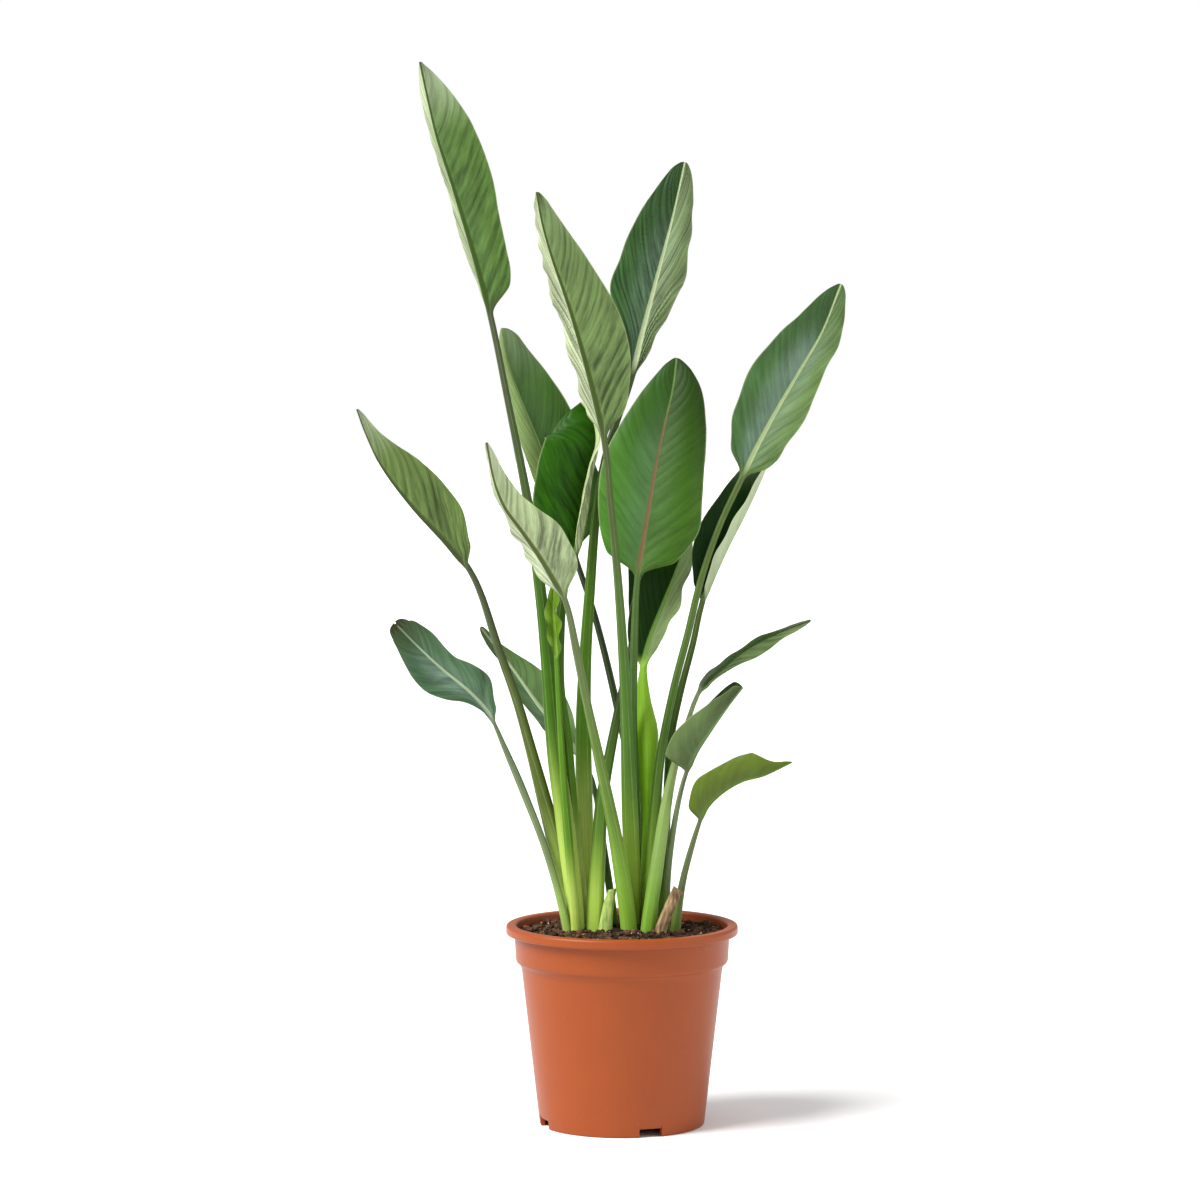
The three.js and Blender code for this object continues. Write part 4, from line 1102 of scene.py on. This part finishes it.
def leaf_finish(name, leaf, settings):
    """A waxy leaf: each half of the face that shows has its own green, partly painted light and shade, with
    painted shade in the creases between its pleats and paler backs, fine veins, a painted sheen beside
    the rib and a streaked stalk."""
    def shaded(web):
        return tuple(c * settings.shade for c in linear(web)[:3]) + (1,)

    colours = {key: shaded(web) for key, web in leaf["colours"].items()}
    finish = Finish(name, gloss=0.13)
    phase, from_rib, rib_share, vein = finish.attribute("vein")
    opened, seen, risen, grown = finish.attribute("grown")
    share, across, oval, spot = finish.attribute("spot")
    place = finish.objects()

    # The two halves, the other face, and a painted sheen beside the rib of the face that shows: a grey-blue
    # reflection of the bright surroundings
    cloud = finish.noise(place, 11, 4)
    blotch = finish.noise(place, 60, 3)
    # Each half's green is partly painted light and shade, darker for a half that lay in shade
    right_half = from_rib.rise(-0.4, 0.4)
    blade = finish.mix(right_half, colours["left"], colours["right"])
    blade = finish.mix(seen, colours["back"], blade)
    painted_sheen = (1 - across.rise(0.1, 0.75)) * (cloud * 1.6 - 0.2) * leaf["painted_sheen"] * share.rise(0.0, 0.1)
    painted_sheen = painted_sheen * (1 - share.rise(0.6, 0.85)) * seen * (1 - right_half * 0.6)
    blade = finish.mix(painted_sheen, blade, shaded(PAINTED_SHEEN))

    # Painted shade in the creases between the pleats, as deep as the pleats are, fine veins in each pleat,
    # and streaks that run along the veins
    crease = phase.wholeness().rise(0.35, 1.0)
    fine = (phase * FINE_VEINS).wholeness().rise(0.4, 1.0)
    inner = across.rise(0.0, 0.12) * (1 - across.rise(0.75, 1.0) * 0.6)
    veined = leaf["veins"]
    flow = finish.noise(finish.stretched(vein, (1, 0.02, 0)), 1.4, 5, 0.68)
    patchy = finish.noise(place, 24, 2).rise(0.3, 0.65)
    tone = (flow - 0.5) * (3.0 * veined) - crease * (patchy * 0.4 + 0.5) * inner * (0.26 * leaf["pleat"])
    tone = 1 + (tone - fine * inner * (0.12 * veined)) * (1.25 - share * 0.6)
    tone = tone.most(0.35) * (0.68 + cloud * 0.52 + blotch * 0.2)

    # A darker or paler tip, the margin, the rib and a dry tip
    tip = leaf["tip"]
    if tip < 0:
        blade = finish.mix(share.rise(0.68, 1.0) * -tip, blade, shaded(PALE_TIP))
    else:
        tone = tone * (1 - share.rise(0.35, 1.0) * (0.5 * tip))
    blade = finish.scaled(blade, tone)
    margin = across.rise(0.968, 0.99)
    blade = finish.mix(margin * 0.4, blade, shaded(PALE_MARGIN))
    rib_mask = 1 - rib_share.rise(0.75, 1.15)
    rib = finish.scaled(colours["rib"], 0.9 + blotch * 0.2)
    if "brown_rib" in leaf:
        end = leaf["brown_rib"]
        rib = finish.mix(share.rise(end - 0.2, end), rib, shaded(GREEN_RIB))
    blade = finish.mix(rib_mask, blade, rib)
    if "dry_tip" in leaf:
        worn, start = share + (blotch - 0.5) * 0.05, leaf["dry_tip"]
        blade = finish.mix(worn.rise(start - 0.3, start) * 0.55, blade, linear(WITHERED))
        blade = finish.mix(worn.rise(start, start + 0.03), blade, linear(DRY))

    # The stalk, streaked lengthwise, pale along its ridges, and with a painted highlight along its sides near
    # the foot, where the sheath's edges are also pale
    round_oval, upwards = finish.stretched(spot, (0, 0, 9)), finish.stretched(grown, (0, 0, 6))
    lengthwise = finish.node("VectorMath", {"operation": "ADD"}, {0: round_oval, 1: upwards})
    streak = finish.noise(lengthwise, 1.6, 3)
    band = finish.noise(lengthwise, 0.33, 2)
    stalk = finish.mix(risen.rise(0.4, 0.95), colours["stem"], colours["stalk"])
    # The foot's colour skips the shade factor: its pale yellow-green is painted lighter, against the shade
    # among the stalks
    stalk = finish.mix(risen.rise(0.03, 0.36), linear(leaf["colours"]["foot"]), stalk)
    ridge = (1 - abs(abs(oval) - 0.5).rise(0.02, 0.1)) * (blotch + band - 0.5) * 0.35
    # A painted highlight along the stalk's two sides near the foot, pale also as the sheath's edges are
    edge = abs(oval).rise(0.95, 1.0) * (1 - risen.rise(0.1, 0.4))
    stalk = finish.mix(ridge.most(0), stalk, shaded(STALK_RIDGE))
    stalk = finish.mix(edge * 0.3, stalk, linear(SHEATH_EDGE_HIGHLIGHT))
    stalk = finish.scaled(stalk, 0.36 + streak * 0.6 + band * 0.5 + blotch * 0.18)
    colour = finish.mix(opened, stalk, blade)

    roughness = settings.roughness + (cloud - 0.5) * 0.12 + crease * 0.05
    height_map = opened * ((1 - crease) * 0.6 + (1 - fine) * 0.2) + streak * (1 - opened) * 0.4 + blotch * 0.3
    return finish.finish(colour, roughness, finish.bump(height_map, 0.0005, 0.6))


class PLANT_OT_leaves(bpy.types.Operator):
    """Grow the eighteen leaves, each with its stalk, rib, pleated blade and waved margins"""

    bl_idname = "plant.grow_leaves"
    bl_label = "Grow leaves"

    def execute(self, context):
        settings = context.scene.plant_leaves
        for node, leaf in LEAVES.items():
            leaf = PLAIN_LEAF | leaf
            mesh = tube_mesh(node + "_grown", *leaf_surface(leaf, settings))
            place_piece(mesh, leaf_finish(node + "_skin", leaf, settings), "leaf", node)
        return {"FINISHED"}


def stump_surface(stump, rng):
    """A stalk's stump as rings: a grooved oval that tapers from foot to top, times 1 + wrinkle x noise, with
    its last fifth tilted by the cut's slant times the distance across."""
    rows, size = 40, 40
    line = MiddleLine(stump["line"])
    share = (np.arange(rows) / (rows - 1))[:, None]
    angle = circle(size)[None, :]
    half_width = between(*stump["wide"], share) / 2
    half_depth = between(*stump["deep"], share) / 2
    groove = 1 - (1 - GROOVE) * np.exp(-(((angle - np.pi / 2) / 0.5) ** 2))
    folds = 1 + stump["wrinkle"] * value_noise(angle * 4 / np.pi * 3, share * 5 + 0 * angle, 1, rng)
    x = half_width * np.cos(angle) * folds
    n = half_depth * np.sin(angle) * groove * folds
    distance = share[:, 0] * line.length
    side, up = line.across(distance, np.zeros(rows), 1)
    points = line.at(distance)[:, None] + side[:, None] * x[..., None] + up[:, None] * n[..., None]
    cut = np.clip((share - 0.8) / 0.2, 0, 1)
    points[..., 2] += cut * x * stump["slant"] / stump["wide"][1]
    return points


class PLANT_OT_stumps(bpy.types.Operator):
    """Add the pale stump of a cut stalk and the dry stump of an old sheath"""

    bl_idname = "plant.add_stumps"
    bl_label = "Add stumps"

    def execute(self, context):
        rng = np.random.default_rng(WRINKLE_SEED)
        for node, stump in STUMPS.items():
            mesh = tube_mesh(node + "_stump", stump_surface(stump, rng))
            place_piece(mesh, stump_finish(node + "_skin", stump), node, node)
        return {"FINISHED"}


def stump_finish(name, stump):
    """Fibrous plant matter: two colours in streaks that run upwards."""
    finish = Finish(name, gloss=0.25)
    place = finish.objects()
    streak = finish.noise(finish.stretched(place, (1, 1, 0.15)), 420, 4)
    patch = finish.noise(place, 90, 3)
    dryness = (streak * 0.8 + patch * 0.6 - 0.2).rise(0.2, 0.8)
    colour = finish.mix(dryness, linear(stump["dark"]), linear(stump["light"]))
    return finish.finish(colour, stump["roughness"], finish.bump(streak, 0.0006, 0.7))


class PLANT_OT_stage(bpy.types.Operator):
    """Set up the pale floor, the soft studio light and the camera"""

    bl_idname = "plant.set_stage"
    bl_label = "Set stage"

    def execute(self, context):
        settings = context.scene.plant_stage
        self.lay_floor(settings)
        self.light(settings)
        self.place_camera(settings)
        return {"FINISHED"}

    def lay_floor(self, settings):
        """A wide, level square, a hair below the pot's foot."""
        reach, low = 20.0, -0.0002
        mesh = bpy.data.meshes.new("studio_floor")
        corners = [(-reach, -reach, low), (reach, -reach, low), (reach, reach, low), (-reach, reach, low)]
        mesh.from_pydata(corners, [], [(0, 1, 2, 3)])
        finish = Finish("studio_paper", gloss=0.1)
        mesh.materials.append(finish.finish(tuple(settings.floor), 0.9))
        floor = add_object("studio_floor", mesh)

    def light(self, settings):
        """Even light from all round, a broad key light from the left and a weak one from the right."""
        scene = bpy.context.scene
        world = bpy.data.worlds.new("studio")
        world.use_nodes = True
        tree = world.node_tree
        background = tree.nodes["Background"]
        background.inputs["Color"].default_value = (1, 1, 1, 1)
        # The backdrop is white paper, and the plant is lit by less of it
        rays = tree.nodes.new("ShaderNodeLightPath")
        strength = tree.nodes.new("ShaderNodeMapRange")
        strength.inputs["To Min"].default_value = settings.sky
        strength.inputs["To Max"].default_value = 1.0
        tree.links.new(rays.outputs["Is Camera Ray"], strength.inputs["Value"])
        tree.links.new(strength.outputs[0], background.inputs["Strength"])
        scene.world = world
        self.sun("key_light", settings.sun, settings.softness, settings.azimuth, settings.elevation)
        self.sun("side_light", settings.side, *SIDE_LIGHT)
        scene.view_settings.view_transform = "Standard"

    def sun(self, name, energy, softness, azimuth, elevation):
        """A light from far away: its azimuth is to the left of the camera, its softness its own angle."""
        data = bpy.data.lights.new(name, "SUN")
        data.energy, data.angle = energy, softness
        flat = math.cos(elevation)
        towards = Vector((-math.sin(azimuth) * flat, -math.cos(azimuth) * flat, math.sin(elevation)))
        add_object(name, data).rotation_euler = towards.to_track_quat("Z", "Y").to_euler()

    def place_camera(self, settings):
        """The camera stands in front, a little above the middle, and looks slightly down."""
        data = bpy.data.cameras.new("camera")
        data.sensor_width = 36
        data.lens = data.sensor_width / 2 / math.tan(settings.view / 2)
        camera = add_object("camera", data)
        camera.location = Vector(settings.camera) + Vector(POT_PLACE)
        camera.rotation_euler = Euler((math.pi / 2 - settings.pitch, 0, 0))
        bpy.context.scene.camera = camera


class PLANT_PT_panel(bpy.types.Panel):
    """The plant's settings and builders, in the 3D view's sidebar."""

    bl_idname = "PLANT_PT_panel"
    bl_label = "Bird of paradise"
    bl_space_type = "VIEW_3D"
    bl_region_type = "UI"
    bl_category = "Plant"

    def draw(self, context):
        for group, operator in STEPS:
            box = self.layout.box()
            settings = getattr(context.scene, group, None)
            if settings is not None:
                for key in settings.bl_rna.properties.keys():
                    if key not in ("rna_type", "name"):
                        box.prop(settings, key)
            box.operator(operator)


STEPS = (
    ("plant_pot", "plant.build_pot"),
    ("plant_soil", "plant.build_soil"),
    ("plant_leaves", "plant.grow_leaves"),
    ("", "plant.add_stumps"),
    ("plant_stage", "plant.set_stage"),
)
GROUPS = {
    "plant_pot": PotSettings,
    "plant_soil": SoilSettings,
    "plant_leaves": LeafSettings,
    "plant_stage": StageSettings,
}
CLASSES = (
    *GROUPS.values(), PLANT_OT_pot, PLANT_OT_soil, PLANT_OT_leaves, PLANT_OT_stumps, PLANT_OT_stage,
    PLANT_PT_panel,
)


def register():
    for item in CLASSES:
        bpy.utils.register_class(item)
    for name, group in GROUPS.items():
        setattr(bpy.types.Scene, name, PointerProperty(type=group))


def unregister():
    for name in GROUPS:
        delattr(bpy.types.Scene, name)
    for item in reversed(CLASSES):
        bpy.utils.unregister_class(item)


def main():
    """Builds every piece and the stage."""
    register()
    bpy.ops.plant.build_pot()
    bpy.ops.plant.build_soil()
    bpy.ops.plant.grow_leaves()
    bpy.ops.plant.add_stumps()
    bpy.ops.plant.set_stage()


if __name__ == "__main__":
    main()
